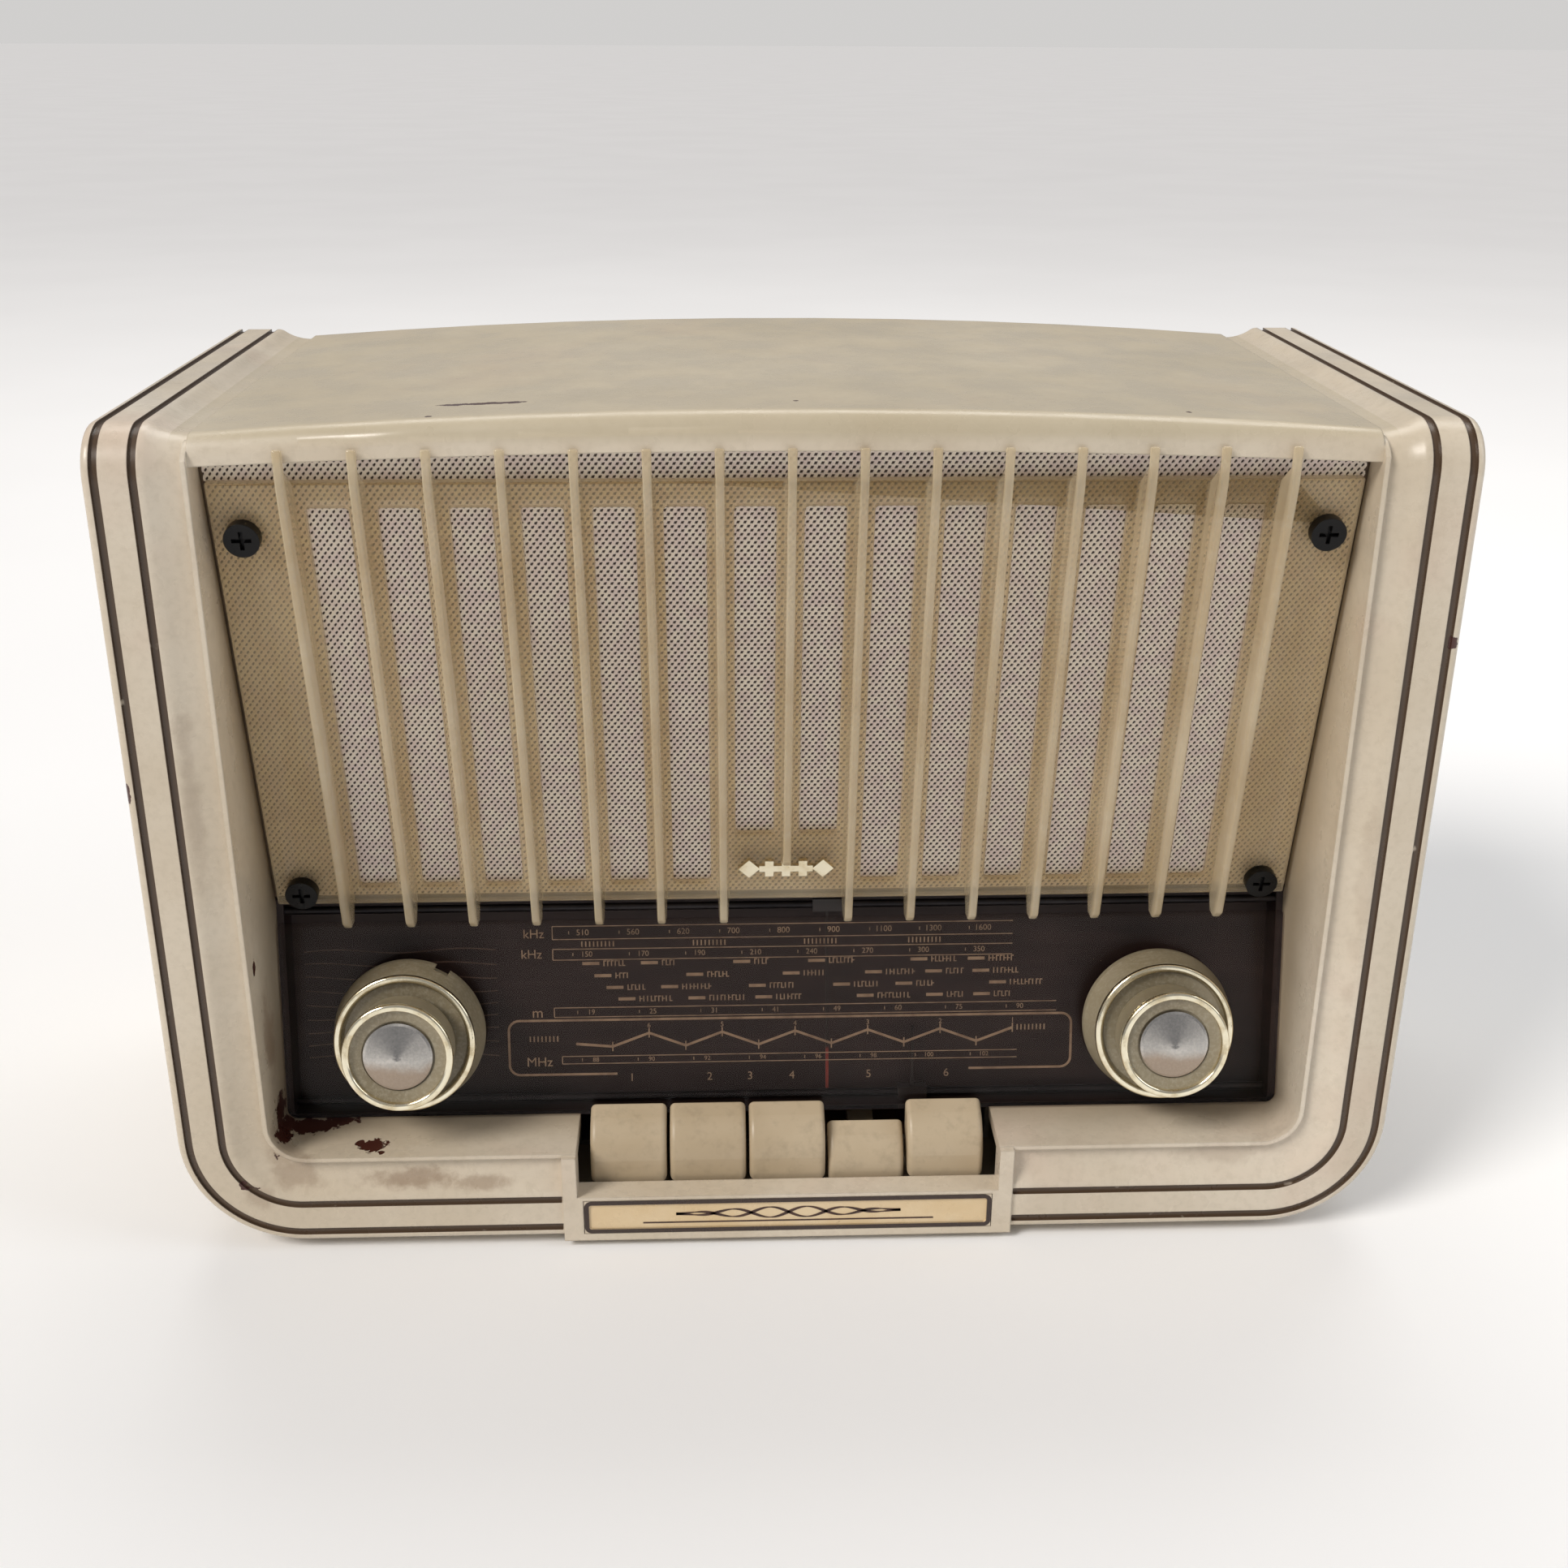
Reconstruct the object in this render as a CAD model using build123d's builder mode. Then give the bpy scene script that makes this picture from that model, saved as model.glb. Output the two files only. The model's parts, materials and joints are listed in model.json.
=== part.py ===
from build123d import *
import os
from math import cos, radians, sin

os.makedirs("parts", exist_ok=True)

# A bakelite table radio. X runs to the right, Y from the front to the back, Z up.
# The origin is on the floor under the middle of the whole set. All sizes are in millimetres.

# ---------------------------------------------------------------- driving dimensions
case_width = 360
case_depth = 168
rail_height = 245        # frame lip to the top of the side rails
crown_height = 248.5     # frame lip to the middle of the crowned top
panel_height = 242.6     # top panel beside the rails
foot_height = 0.8        # rubber showing under the plinth
plinth_height = 2.8
wall = 4
front_wall = 7.5
lower_radius = 35        # lower corners of the frame, seen from the front
upper_radius = 13        # front to top bend, seen from the side
badge_proud = 0.8
pocket_depth = 12.7      # back cover bulge
grommet_lip = 1.5        # rubber showing behind the back cover

half_width = case_width / 2
total_depth = badge_proud + case_depth + pocket_depth + grommet_lip
front_y = -total_depth / 2 + badge_proud
lip_z = foot_height + plinth_height

opening_half = 153.5
opening_bottom = 28.4
opening_radius = 10.5
window_back_radius = 3
opening_side_top = 235
opening_mid_top = 238.5
header_depth = 3.2       # header and cove lie this far behind the frame's face

groove_width = 2
groove_depth = 0.8
groove_places = (3.5, 13.2)   # middle of each groove, in from the outer edge

dial_lean = 12           # the dial's top leans back
dial_foot = (22, 29)     # depth and height of the glass's lower front edge
dial_glass_height = 61
glass_half = 152.8
glass_thickness = 3

grille_lean = 10.8       # the grille's top leans forward
grille_foot = (34.5, 96)  # depth and height of the panel's lower front edge
grille_half = 151.8
grille_length = 135.7
grille_thickness = 3
fin_count = 15
fin_pitch = 18.65
fin_depth = 8.2
fin_root = 3.4
slot_width = 11.2
middle_fin_start = 21     # the middle fin stops above the emblem
slot_low = 5.9
slot_low_mid = 23.4
slot_high = 128.5

screw_spots = ((-143.6, 121), (143.6, 121), (-143.6, 5.4), (143.6, 5.4))
screw_head_radius = 4.75

knob_x = 114
knob_rise = 28           # knob axis above the glass's lower edge, along the glass
skirt_radius = 22.7
skirt_front_radius = 21
skirt_length = 12
inner_knob_radius = 16.2
inner_knob_front = 24.8
cap_radius = 10.1

shaft_radius = 2.0
tube_radius = 3.0
tube_bore = 2.06
bush_bore = 3.06

key_count = 5
key_pitch = 24.2
key_width = 23.2
key_travel = 8.7         # degrees
key_pivot = (62, 21)     # depth and height of the key axle
latched_key = 4
bay_half = 63.5
sill_height = 14.2

badge_half = 67.8
badge_plate_half = 61.6
badge_plate_low = 1.4
badge_plate_high = 12.8

pan_floor = -12.5        # dial pan floor, measured back from the glass's face
rail_radius = 1.2
am_rail = (64.5, -5.2)   # along the glass, behind the glass's face
fm_rail = (2.6, -8.6)
am_pointer_x = 13
fm_pointer_x = 40

baffle_front = -4.8
baffle_back = -8.8
baffle_screw_places = [(x, rise) for x in (-155.5, 155.5) for rise in (8, 70, 126)]
speaker_x = -50
speaker_rise = 68
speaker_radius = 64

chassis_front = 78
chassis_back = 158
chassis_half = 144
chassis_low = 4
chassis_top = 50
sheet_steel = 1.5

valve_places = ((-128, 128), (-98, 132), (-66, 126), (-30, 130), (0, 118))
valve_heights = (44, 48, 40, 52, 44)
valve_radius = 9.5
socket_radius = 8.5
socket_rise = 2.5
can_specs = (((-92, 98), (20, 20), 42), ((-8, 92), (20, 20), 42), ((-50, 97), (36, 24), 34))
aerial_depth = 152
aerial_height = 136
plate_pitch = 5.6        # spacing of the tuning capacitor's plates

drum_x = 75              # x and height of the tuning drum's axis
drum_height = 104
drum_radius = 48
drum_depth = 88          # depth of the drum's front face

foot_radius = 8
foot_places = ((-122, 24), (122, 24), (-122, 146), (122, 146))
chassis_screw_places = ((-100, 88), (100, 88), (-100, 148), (100, 148))

cover_rebate = 2.6       # the back cover sits in a rebate this deep
cover_sheet = 2.4
cover_half = 176.5
cover_low = 3.5
cover_radius = 31.5
cover_high = 239
cover_screw_places = ((-163, 225), (163, 225), (-163, 40), (163, 40))
pocket_half = 128
pocket_low = 12
pocket_high = 118

socket_x = -70
socket_height = 30
socket_plate_width = 84
socket_plate_height = 26
grommet_x = 100
grommet_groove_radius = 5

# ---------------------------------------------------------------- planes
def face_plane(depth):
    """Upright plane at a depth behind the frame's face; local x, height over the lip; normal to the front."""
    return Plane(origin=(0, front_y + depth, lip_z), x_dir=(1, 0, 0), z_dir=(0, -1, 0))


def side_plane(x):
    """Plane across the set at x; local depth, height over the lip; normal +X."""
    return Plane(origin=(x, front_y, lip_z), x_dir=(0, 1, 0), z_dir=(1, 0, 0))


def level_plane(height):
    """Level plane at a height over the lip; local x, depth; normal up."""
    return Plane(origin=(0, front_y, lip_z + height), x_dir=(1, 0, 0), z_dir=(0, 0, 1))


dial_sin = sin(radians(dial_lean))
dial_cos = cos(radians(dial_lean))
dial_normal = (0, -dial_cos, dial_sin)
grille_sin = sin(radians(grille_lean))
grille_cos = cos(radians(grille_lean))
grille_normal = (0, -grille_cos, -grille_sin)


def dial_point(x, rise, out):
    """Point on the dial: x, distance up the glass, distance out of the glass's face."""
    depth = dial_foot[0] + dial_sin * rise - dial_cos * out
    height = dial_foot[1] + dial_cos * rise + dial_sin * out
    return (x, front_y + depth, lip_z + height)


def grille_point(x, rise, out):
    """Point on the grille: x, distance up the panel, distance out of the panel's face."""
    depth = grille_foot[0] - grille_sin * rise - grille_cos * out
    height = grille_foot[1] + grille_cos * rise - grille_sin * out
    return (x, front_y + depth, lip_z + height)


def dial_plane(out, x=0, rise=0):
    return Plane(origin=dial_point(x, rise, out), x_dir=(1, 0, 0), z_dir=dial_normal)


def grille_plane(out, x=0, rise=0):
    return Plane(origin=grille_point(x, rise, out), x_dir=(1, 0, 0), z_dir=grille_normal)


def rail_plane(rise, out):
    """Plane across a pointer rail at the pan's left end."""
    return Plane(origin=dial_point(-pan_half + 1, rise, out), x_dir=(0, 1, 0), z_dir=(1, 0, 0))


def knob_plane(x):
    """Plane through a knob's axis; local radius, distance out of the glass's face."""
    return Plane(origin=dial_point(x, knob_rise, 0), x_dir=(1, 0, 0), z_dir=(0, -dial_sin, -dial_cos))


def knob_axis(x):
    return Axis(dial_point(x, knob_rise, 0), dial_normal)


def side_of(point):
    """Depth and height over the lip of a point of the set."""
    return (point[1] - front_y, point[2] - lip_z)


def save(part, name):
    part.label = name
    export_step(part, "parts/" + name + ".step")


# ---------------------------------------------------------------- outlines
def u_face(half, bottom, radius, top):
    """Rectangle standing on two rounded lower corners."""
    with BuildSketch() as face:
        with Locations((0, (bottom + top) / 2)):
            Rectangle(2 * half, top - bottom)
        fillet(face.vertices().group_by(Axis.Y)[0], radius)
    return face.sketch


def side_face(front, top, back, radius):
    """Side view of a block with its front upper corner rounded."""
    low = -20
    with BuildSketch() as face:
        with Locations(((front + back) / 2, (low + top) / 2)):
            Rectangle(back - front, top - low)
        fillet(face.vertices().group_by(Axis.Y)[-1].sort_by(Axis.X)[0], radius)
    return face.sketch


def frame_path(inset, back):
    """The run of the frame at an inset: along the left rail, round the front and back along the right rail."""
    x = half_width - inset
    return [
        (-x, back, lip_z + rail_height),
        (-x, front_y, lip_z + rail_height),
        (-x, front_y, lip_z + inset),
        (x, front_y, lip_z + inset),
        (x, front_y, lip_z + rail_height),
        (x, back, lip_z + rail_height),
    ]


def frame_radii(inset):
    return [upper_radius, lower_radius - inset, lower_radius - inset, upper_radius]


outer_u = u_face(half_width, 0, lower_radius, rail_height)
outer_side = side_face(0, rail_height, case_depth, upper_radius)

# ---------------------------------------------------------------- cabinet
cove_inset = 14.6
cove_width = 11.6
cove_radius = upper_radius - header_depth + 0.6
inner_u = u_face(half_width - cove_inset - cove_width + 0.2, cove_inset + cove_width - 0.2, 9, 300)
inner_side = side_face(header_depth, panel_height, case_depth + 10, cove_radius)

with BuildPart() as cove_cut:
    with BuildSketch(face_plane(-5)):
        add(inner_u)
    extrude(amount=-(case_depth + 10))
    with BuildSketch(side_plane(-half_width)):
        add(inner_side)
    extrude(amount=case_width, mode=Mode.SUBTRACT)

liner_half = opening_half + wall
ledge_under = opening_bottom - wall
liner_back = -3.95       # grille side of the liner's back edge
liner_top = 239
dial_back = -3.2
liner_low = side_of(dial_point(0, -4, dial_back))
dial_line = (side_of(dial_point(0, 0, dial_back)), side_of(dial_point(0, 100, dial_back)))
grille_line = (side_of(grille_point(0, 0, liner_back)), side_of(grille_point(0, 100, liner_back)))


def crossing(first, second):
    """Where two lines, each given by two points, cross."""
    (ax, ay), (bx, by) = first
    (cx, cy), (dx, dy) = second
    cross = (bx - ax) * (dy - cy) - (by - ay) * (dx - cx)
    along = ((cx - ax) * (dy - cy) - (cy - ay) * (dx - cx)) / cross
    return (ax + along * (bx - ax), ay + along * (by - ay))


liner_bend = crossing(dial_line, grille_line)
liner_high = crossing(grille_line, ((0, liner_top), (10, liner_top)))

with BuildPart() as cavity:
    with BuildSketch(face_plane(front_wall)):
        add(u_face(half_width - wall, wall, lower_radius - wall, 238.5))
    extrude(amount=-case_depth)
    with BuildSketch(side_plane(-liner_half)):
        with BuildLine():
            Polyline((0, ledge_under), liner_low, liner_bend, liner_high, (0, liner_top), close=True)
        make_face()
    extrude(amount=2 * liner_half, mode=Mode.SUBTRACT)

with BuildPart() as bead:
    with BuildSketch(face_plane(1.3)):
        add(u_face(opening_half + 1.4, opening_bottom - 1.4, opening_radius + 1.4, 241))
        add(u_face(opening_half, opening_bottom, opening_radius, 242), mode=Mode.SUBTRACT)
    extrude(amount=-7)
    with BuildSketch(side_plane(-half_width)):
        add(side_face(0, 241, 20, 9))
    extrude(amount=case_width, mode=Mode.INTERSECT)

with BuildPart() as window:
    for depth, radius in ((3, opening_radius), (24, window_back_radius)):
        with BuildSketch(face_plane(depth)):
            add(u_face(opening_half, opening_bottom, radius, opening_side_top))
    loft()
    with BuildSketch(face_plane(24)):
        add(u_face(opening_half, opening_bottom, window_back_radius, opening_side_top))
    extrude(amount=-30)

with BuildPart() as cabinet:
    with BuildSketch(face_plane(0)):
        add(outer_u)
    extrude(amount=-case_depth)
    with BuildSketch(side_plane(-half_width - 1)):
        add(outer_side)
    extrude(amount=case_width + 2, mode=Mode.INTERSECT)
    rim_edges = [
        edge
        for edge in cabinet.edges()
        if edge.center().Y < front_y + case_depth - 1
        and not (abs(edge.center().X) < 1 and edge.center().Z > lip_z + 100)
    ]
    fillet(rim_edges, 2)
    # the smooth cove inside the frame, on the front and on along the rails
    cove_start = Plane(
        origin=(-(half_width - cove_inset), front_y + case_depth, lip_z + rail_height),
        x_dir=(1, 0, 0),
        z_dir=(0, -1, 0),
    )
    with BuildSketch(cove_start):
        with BuildLine():
            Spline((0, 0), (2.9, -1.2), (6.6, -2.7), (cove_width, -header_depth), tangents=((1, 0), (1, 0)))
            Polyline((cove_width, -header_depth), (cove_width, 3), (0, 3), (0, 0))
        make_face()
    with BuildLine():
        FilletPolyline(*frame_path(cove_inset, front_y + case_depth), radius=frame_radii(cove_inset))
    sweep(mode=Mode.SUBTRACT)
    add(cove_cut.part, mode=Mode.SUBTRACT)
    # two painted grooves
    for place in groove_places:
        groove_start = Plane(
            origin=(-(half_width - place), front_y + case_depth, lip_z + rail_height),
            x_dir=(1, 0, 0),
            z_dir=(0, -1, 0),
        )
        with BuildSketch(groove_start):
            Rectangle(groove_width, 2 * groove_depth)
        with BuildLine():
            FilletPolyline(*frame_path(place, front_y + case_depth), radius=frame_radii(place))
        sweep(mode=Mode.SUBTRACT)
    # crowned top with the header lip
    with BuildSketch(face_plane(header_depth)):
        with BuildLine():
            ThreePointArc(
                (-opening_half, panel_height + 0.3), (0, crown_height), (opening_half, panel_height + 0.3)
            )
            Polyline(
                (opening_half, panel_height + 0.3),
                (opening_half, opening_side_top - 1),
                (-opening_half, opening_side_top - 1),
                (-opening_half, panel_height + 0.3),
            )
        make_face()
    extrude(amount=-(case_depth - header_depth))
    crown_edges = [
        edge
        for edge in cabinet.edges().filter_by(GeomType.CIRCLE)
        if abs(edge.center().Y - (front_y + header_depth)) < 0.1 and edge.length > 300
    ]
    fillet(crown_edges, 5.5)
    add(cavity.part, mode=Mode.SUBTRACT)
    add(bead.part)
    # window for grille, dial and ledge: its lower corners sharpen towards the dial, its top is arched
    with BuildSketch(face_plane(-5)):
        add(u_face(opening_half, opening_bottom, opening_radius, opening_side_top))
    extrude(amount=-8, mode=Mode.SUBTRACT)
    add(window.part, mode=Mode.SUBTRACT)
    with BuildSketch(face_plane(-5)):
        with BuildLine():
            ThreePointArc(
                (-opening_half, opening_side_top), (0, opening_mid_top), (opening_half, opening_side_top)
            )
            Line((opening_half, opening_side_top), (-opening_half, opening_side_top))
        make_face()
    extrude(amount=-60, mode=Mode.SUBTRACT)
    # pilot holes for the baffle's screws in the back edge of the window walls
    with BuildSketch(grille_plane(baffle_back)):
        with Locations(*baffle_screw_places):
            Circle(1.2)
    extrude(amount=7, mode=Mode.SUBTRACT)
    # block that carries the badge, with a cheek each side of the keys
    with BuildSketch(face_plane(-badge_proud)):
        with Locations((0, (28 - 1.2) / 2)):
            Rectangle(2 * badge_half, 28 + 1.2)
    extrude(amount=-(front_wall + badge_proud))
    with BuildSketch(face_plane(-badge_proud - 1)):
        with Locations((0, (sill_height + 34) / 2)):
            Rectangle(2 * bay_half, 34 - sill_height)
    extrude(amount=-36, mode=Mode.SUBTRACT)
    # shallow seat for the badge plate
    with BuildSketch(face_plane(-badge_proud)):
        with Locations((0, (badge_plate_low + badge_plate_high) / 2)):
            Rectangle(2 * badge_plate_half + 0.4, badge_plate_high - badge_plate_low + 0.4)
    extrude(amount=-1.2, mode=Mode.SUBTRACT)
    # plinth
    with BuildSketch(level_plane(-plinth_height)):
        with Locations((0, 84)):
            RectangleRounded(278, 150, 12)
    extrude(amount=plinth_height + 1)
    # vents, chassis screw holes and foot sockets in the floor
    with BuildSketch(level_plane(-plinth_height - 1)):
        with Locations((0, 118)):
            with GridLocations(14, 0, 13, 1):
                SlotOverall(46, 4, rotation=90)
    extrude(amount=wall + plinth_height + 2, mode=Mode.SUBTRACT)
    with BuildSketch(level_plane(-plinth_height - 1)):
        with Locations(*chassis_screw_places):
            Circle(2.2)
    extrude(amount=wall + plinth_height + 2, mode=Mode.SUBTRACT)
    with BuildSketch(level_plane(-plinth_height - 1)):
        with Locations(*chassis_screw_places):
            Circle(5)
    extrude(amount=3, mode=Mode.SUBTRACT)
    with BuildSketch(level_plane(-plinth_height)):
        with Locations(*foot_places):
            Circle(foot_radius)
    extrude(amount=2, mode=Mode.SUBTRACT)
    # rebate and corner posts for the back cover
    with BuildSketch(face_plane(case_depth - cover_rebate)):
        add(u_face(cover_half + 0.4, cover_low - 0.4, cover_radius + 0.4, cover_high + 0.4))
    extrude(amount=-cover_rebate, mode=Mode.SUBTRACT)
    for x, height in cover_screw_places:
        post_x = x + (5 if x > 0 else -5)
        with BuildSketch(face_plane(case_depth - cover_rebate)):
            with Locations((post_x, height)):
                Rectangle(16, 12)
        extrude(amount=18)
        with BuildSketch(face_plane(case_depth - cover_rebate)):
            with Locations((x, height)):
                Circle(1.5)
        extrude(amount=14, mode=Mode.SUBTRACT)
save(cabinet.part, "cabinet")

# ---------------------------------------------------------------- back cover, feet
with BuildPart() as back_cover:
    with BuildSketch(face_plane(case_depth - cover_rebate)):
        add(u_face(cover_half, cover_low, cover_radius, cover_high))
    extrude(amount=-cover_sheet)
    pocket_mid = (pocket_low + pocket_high) / 2
    with BuildSketch(face_plane(case_depth - cover_rebate)):
        with Locations((0, pocket_mid)):
            RectangleRounded(2 * pocket_half, pocket_high - pocket_low, 8)
    extrude(amount=-(pocket_depth + cover_rebate))
    with BuildSketch(face_plane(case_depth - cover_rebate)):
        with Locations((0, pocket_mid)):
            RectangleRounded(2 * (pocket_half - cover_sheet), pocket_high - pocket_low - 2 * cover_sheet, 6)
    extrude(amount=-(pocket_depth + cover_rebate - cover_sheet), mode=Mode.SUBTRACT)
    # vent slots over the speaker and the valves, and in the pocket
    with BuildSketch(face_plane(case_depth - cover_rebate - 2)):
        with Locations((0, 160)):
            with GridLocations(20, 28, 15, 3):
                SlotOverall(15, 3.4)
        with Locations((0, 85)):
            with GridLocations(20, 12, 11, 3):
                SlotOverall(14, 3.4)
    extrude(amount=-(pocket_depth + 8), mode=Mode.SUBTRACT)
    # opening for the aerial and pick-up sockets, hole for the mains lead grommet
    with BuildSketch(face_plane(case_depth - cover_rebate - 2)):
        with Locations((socket_x, socket_height)):
            Rectangle(socket_plate_width - 6, socket_plate_height - 6)
        with Locations((grommet_x, socket_height)):
            Circle(grommet_groove_radius)
    extrude(amount=-(pocket_depth + 8), mode=Mode.SUBTRACT)
    with BuildSketch(face_plane(case_depth - cover_rebate - 1)):
        with Locations(*cover_screw_places):
            Circle(1.7)
    extrude(amount=-6, mode=Mode.SUBTRACT)
save(back_cover.part, "back_cover")

with BuildPart() as back_cover_screws:
    with BuildSketch(face_plane(case_depth - cover_rebate + cover_sheet)):
        with Locations(*cover_screw_places):
            Circle(3.2)
    extrude(amount=-1.9)
    fillet(back_cover_screws.edges().group_by(Axis.Y)[-1], 1.2)
    with BuildSketch(face_plane(case_depth - cover_rebate + cover_sheet)):
        with Locations(*cover_screw_places):
            Circle(1.48)
    extrude(amount=13)
    with BuildSketch(face_plane(case_depth - cover_rebate + cover_sheet + 1.1)):
        with Locations(*cover_screw_places):
            Rectangle(7, 0.8)
    extrude(amount=-2, mode=Mode.SUBTRACT)
save(back_cover_screws.part, "back_cover_screws")

with BuildPart() as rubber_feet:
    with BuildSketch(level_plane(-lip_z)):
        with Locations(*foot_places):
            Circle(foot_radius - 0.05)
    extrude(amount=foot_height + 2)
    chamfer(rubber_feet.edges().group_by(Axis.Z)[0], 0.5)
save(rubber_feet.part, "rubber_feet")

# ---------------------------------------------------------------- grille
fin_places = [fin_pitch * (index - (fin_count - 1) / 2) for index in range(fin_count)]
slot_places = [fin_pitch * (index - (fin_count - 2) / 2) for index in range(fin_count - 1)]

with BuildPart() as grille:
    with BuildSketch(grille_plane(0)):
        with Locations((0, grille_length / 2)):
            Rectangle(2 * grille_half, grille_length)
    extrude(amount=-grille_thickness)
    for place in fin_places:
        start = middle_fin_start if abs(place) < 1 else 0
        root_line = ((start - 4.6, 2.6), (start + 1.5, -0.2), (135.2, -0.2))
        edge_line = ((137.5, fin_depth), (start - 1.6, fin_depth))
        root = [grille_point(place, rise, out) for rise, out in root_line]
        edge = [grille_point(place, rise, out) for rise, out in edge_line]
        hook = ((2.3, 239.6), (1.1, 239.6))
        with BuildSketch(side_plane(place - fin_root / 2)):
            with BuildLine():
                Polyline(
                    side_of(root[0]),
                    side_of(root[1]),
                    side_of(root[2]),
                    (2.7, 234),
                    hook[0],
                    hook[1],
                    side_of(edge[0]),
                    side_of(edge[1]),
                    side_of(grille_point(place, start - 4.6, 6)),
                    close=True,
                )
            make_face()
        extrude(amount=fin_root)
    for place in slot_places:
        low = slot_low_mid if abs(place) < fin_pitch else slot_low
        with BuildSketch(grille_plane(1)):
            with Locations((place, (low + slot_high) / 2)):
                RectangleRounded(slot_width, slot_high - low, 1.2)
        extrude(amount=-(grille_thickness + 2), mode=Mode.SUBTRACT)
    with BuildSketch(grille_plane(1)):
        with Locations(*screw_spots):
            Circle(2.1)
    extrude(amount=-(grille_thickness + 2), mode=Mode.SUBTRACT)
save(grille.part, "grille")

with BuildPart() as grille_screws:
    for place, rise in screw_spots:
        with BuildSketch(grille_plane(0, place, rise)):
            Circle(screw_head_radius)
        extrude(amount=3.2)
    for place, rise in screw_spots:
        with BuildSketch(grille_plane(0, place, rise)):
            Circle(1.95)
        extrude(amount=-12)
        with BuildSketch(grille_plane(1.6, place, rise)):
            Rectangle(5.2, 1.1)
            Rectangle(1.1, 5.2)
        extrude(amount=3, mode=Mode.SUBTRACT)
save(grille_screws.part, "grille_screws")

# a plain ornament: a bar between two lozenges
with BuildPart() as grille_emblem:
    with BuildSketch(grille_plane(0, 0, 12)):
        Rectangle(16, 2.2)
        with Locations((-11, 0), (11, 0)):
            Rectangle(4.6, 4.6, rotation=45)
        with Locations((-5, 0), (0, 0), (5, 0)):
            Rectangle(2.6, 5.6)
    extrude(amount=1.4)
save(grille_emblem.part, "grille_emblem")

# ---------------------------------------------------------------- cloth, baffle, speaker
with BuildPart() as speaker_cloth:
    with BuildSketch(grille_plane(baffle_front)):
        with Locations((0, 71.7)):
            Rectangle(306, 143)
        with Locations(*screw_spots):
            Circle(2.1, mode=Mode.SUBTRACT)
    extrude(amount=0.8)
save(speaker_cloth.part, "speaker_cloth")

speaker_screw_circle = 60.3
speaker_screw_turns = [radians(angle) for angle in (45, 135, 225, 315)]
speaker_screw_places = [
    (speaker_x + speaker_screw_circle * cos(turn), speaker_rise + speaker_screw_circle * sin(turn))
    for turn in speaker_screw_turns
]

with BuildPart() as baffle_board:
    with BuildSketch(grille_plane(baffle_back)):
        with Locations((0, 71)):
            Rectangle(316, 143)
        with Locations((speaker_x, speaker_rise)):
            Circle(55, mode=Mode.SUBTRACT)
        with Locations(*screw_spots):
            Circle(2.1, mode=Mode.SUBTRACT)
        with Locations(*baffle_screw_places, *speaker_screw_places):
            Circle(1.2, mode=Mode.SUBTRACT)
    extrude(amount=baffle_front - baffle_back)
save(baffle_board.part, "baffle_board")

wood_screw_seats = [(place, rise, baffle_back) for place, rise in baffle_screw_places]
wood_screw_seats += [(place, rise, baffle_back - 3) for place, rise in speaker_screw_places]

with BuildPart() as wood_screws:
    for place, rise, seat in wood_screw_seats:
        with BuildSketch(grille_plane(seat, place, rise)):
            Circle(2.6)
        extrude(amount=-1.6)
        with BuildSketch(grille_plane(seat, place, rise)):
            Circle(1.15)
        extrude(amount=6.5)
save(wood_screws.part, "wood_screws")


def speaker_plane():
    """Plane through the speaker's axis; local radius, distance behind the baffle's back as negative y."""
    origin = grille_point(speaker_x, speaker_rise, baffle_back)
    return Plane(origin=origin, x_dir=(1, 0, 0), z_dir=(0, grille_sin, -grille_cos))


speaker_axis = Axis(grille_point(speaker_x, speaker_rise, baffle_back), grille_normal)
with BuildPart() as speaker_basket:
    with BuildSketch(speaker_plane()):
        with BuildLine():
            Polyline(
                (54, 0),
                (speaker_radius, 0),
                (speaker_radius, -3),
                (56.5, -3),
                (55, -6),
                (30, -34),
                (30, -38),
                (14.5, -38),
                (14.5, -36),
                (28, -36),
                (54, -4),
                close=True,
            )
        make_face()
    revolve(axis=speaker_axis)
    with BuildSketch(grille_plane(baffle_back + 1)):
        with Locations(*speaker_screw_places):
            Circle(1.2)
    extrude(amount=-6, mode=Mode.SUBTRACT)
    # four windows behind the cone
    for angle in (0, 90, 180, 270):
        turn = radians(angle)
        spot = (speaker_x + 43 * cos(turn), speaker_rise + 43 * sin(turn))
        with BuildSketch(grille_plane(baffle_back - 10)):
            with Locations(spot):
                Rectangle(16, 34, rotation=angle)
        extrude(amount=-22, mode=Mode.SUBTRACT)
save(speaker_basket.part, "speaker_basket")

with BuildPart() as speaker_cone:
    with BuildSketch(speaker_plane()):
        with BuildLine():
            Polyline(
                (0, -27),
                (11, -29),
                (12, -31),
                (53.6, -1.6),
                (53.6, -0.3),
                (12, -28.6),
                (10, -26),
                (0, -24),
                close=True,
            )
        make_face()
    revolve(axis=speaker_axis)
save(speaker_cone.part, "speaker_cone")

with BuildPart() as speaker_magnet:
    with BuildSketch(speaker_plane()):
        with BuildLine():
            Polyline(
                (0, -38),
                (26, -38),
                (26, -41),
                (21, -42),
                (21, -58),
                (24, -58),
                (24, -61),
                (0, -61),
                close=True,
            )
        make_face()
    revolve(axis=speaker_axis)
save(speaker_magnet.part, "speaker_magnet")

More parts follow.
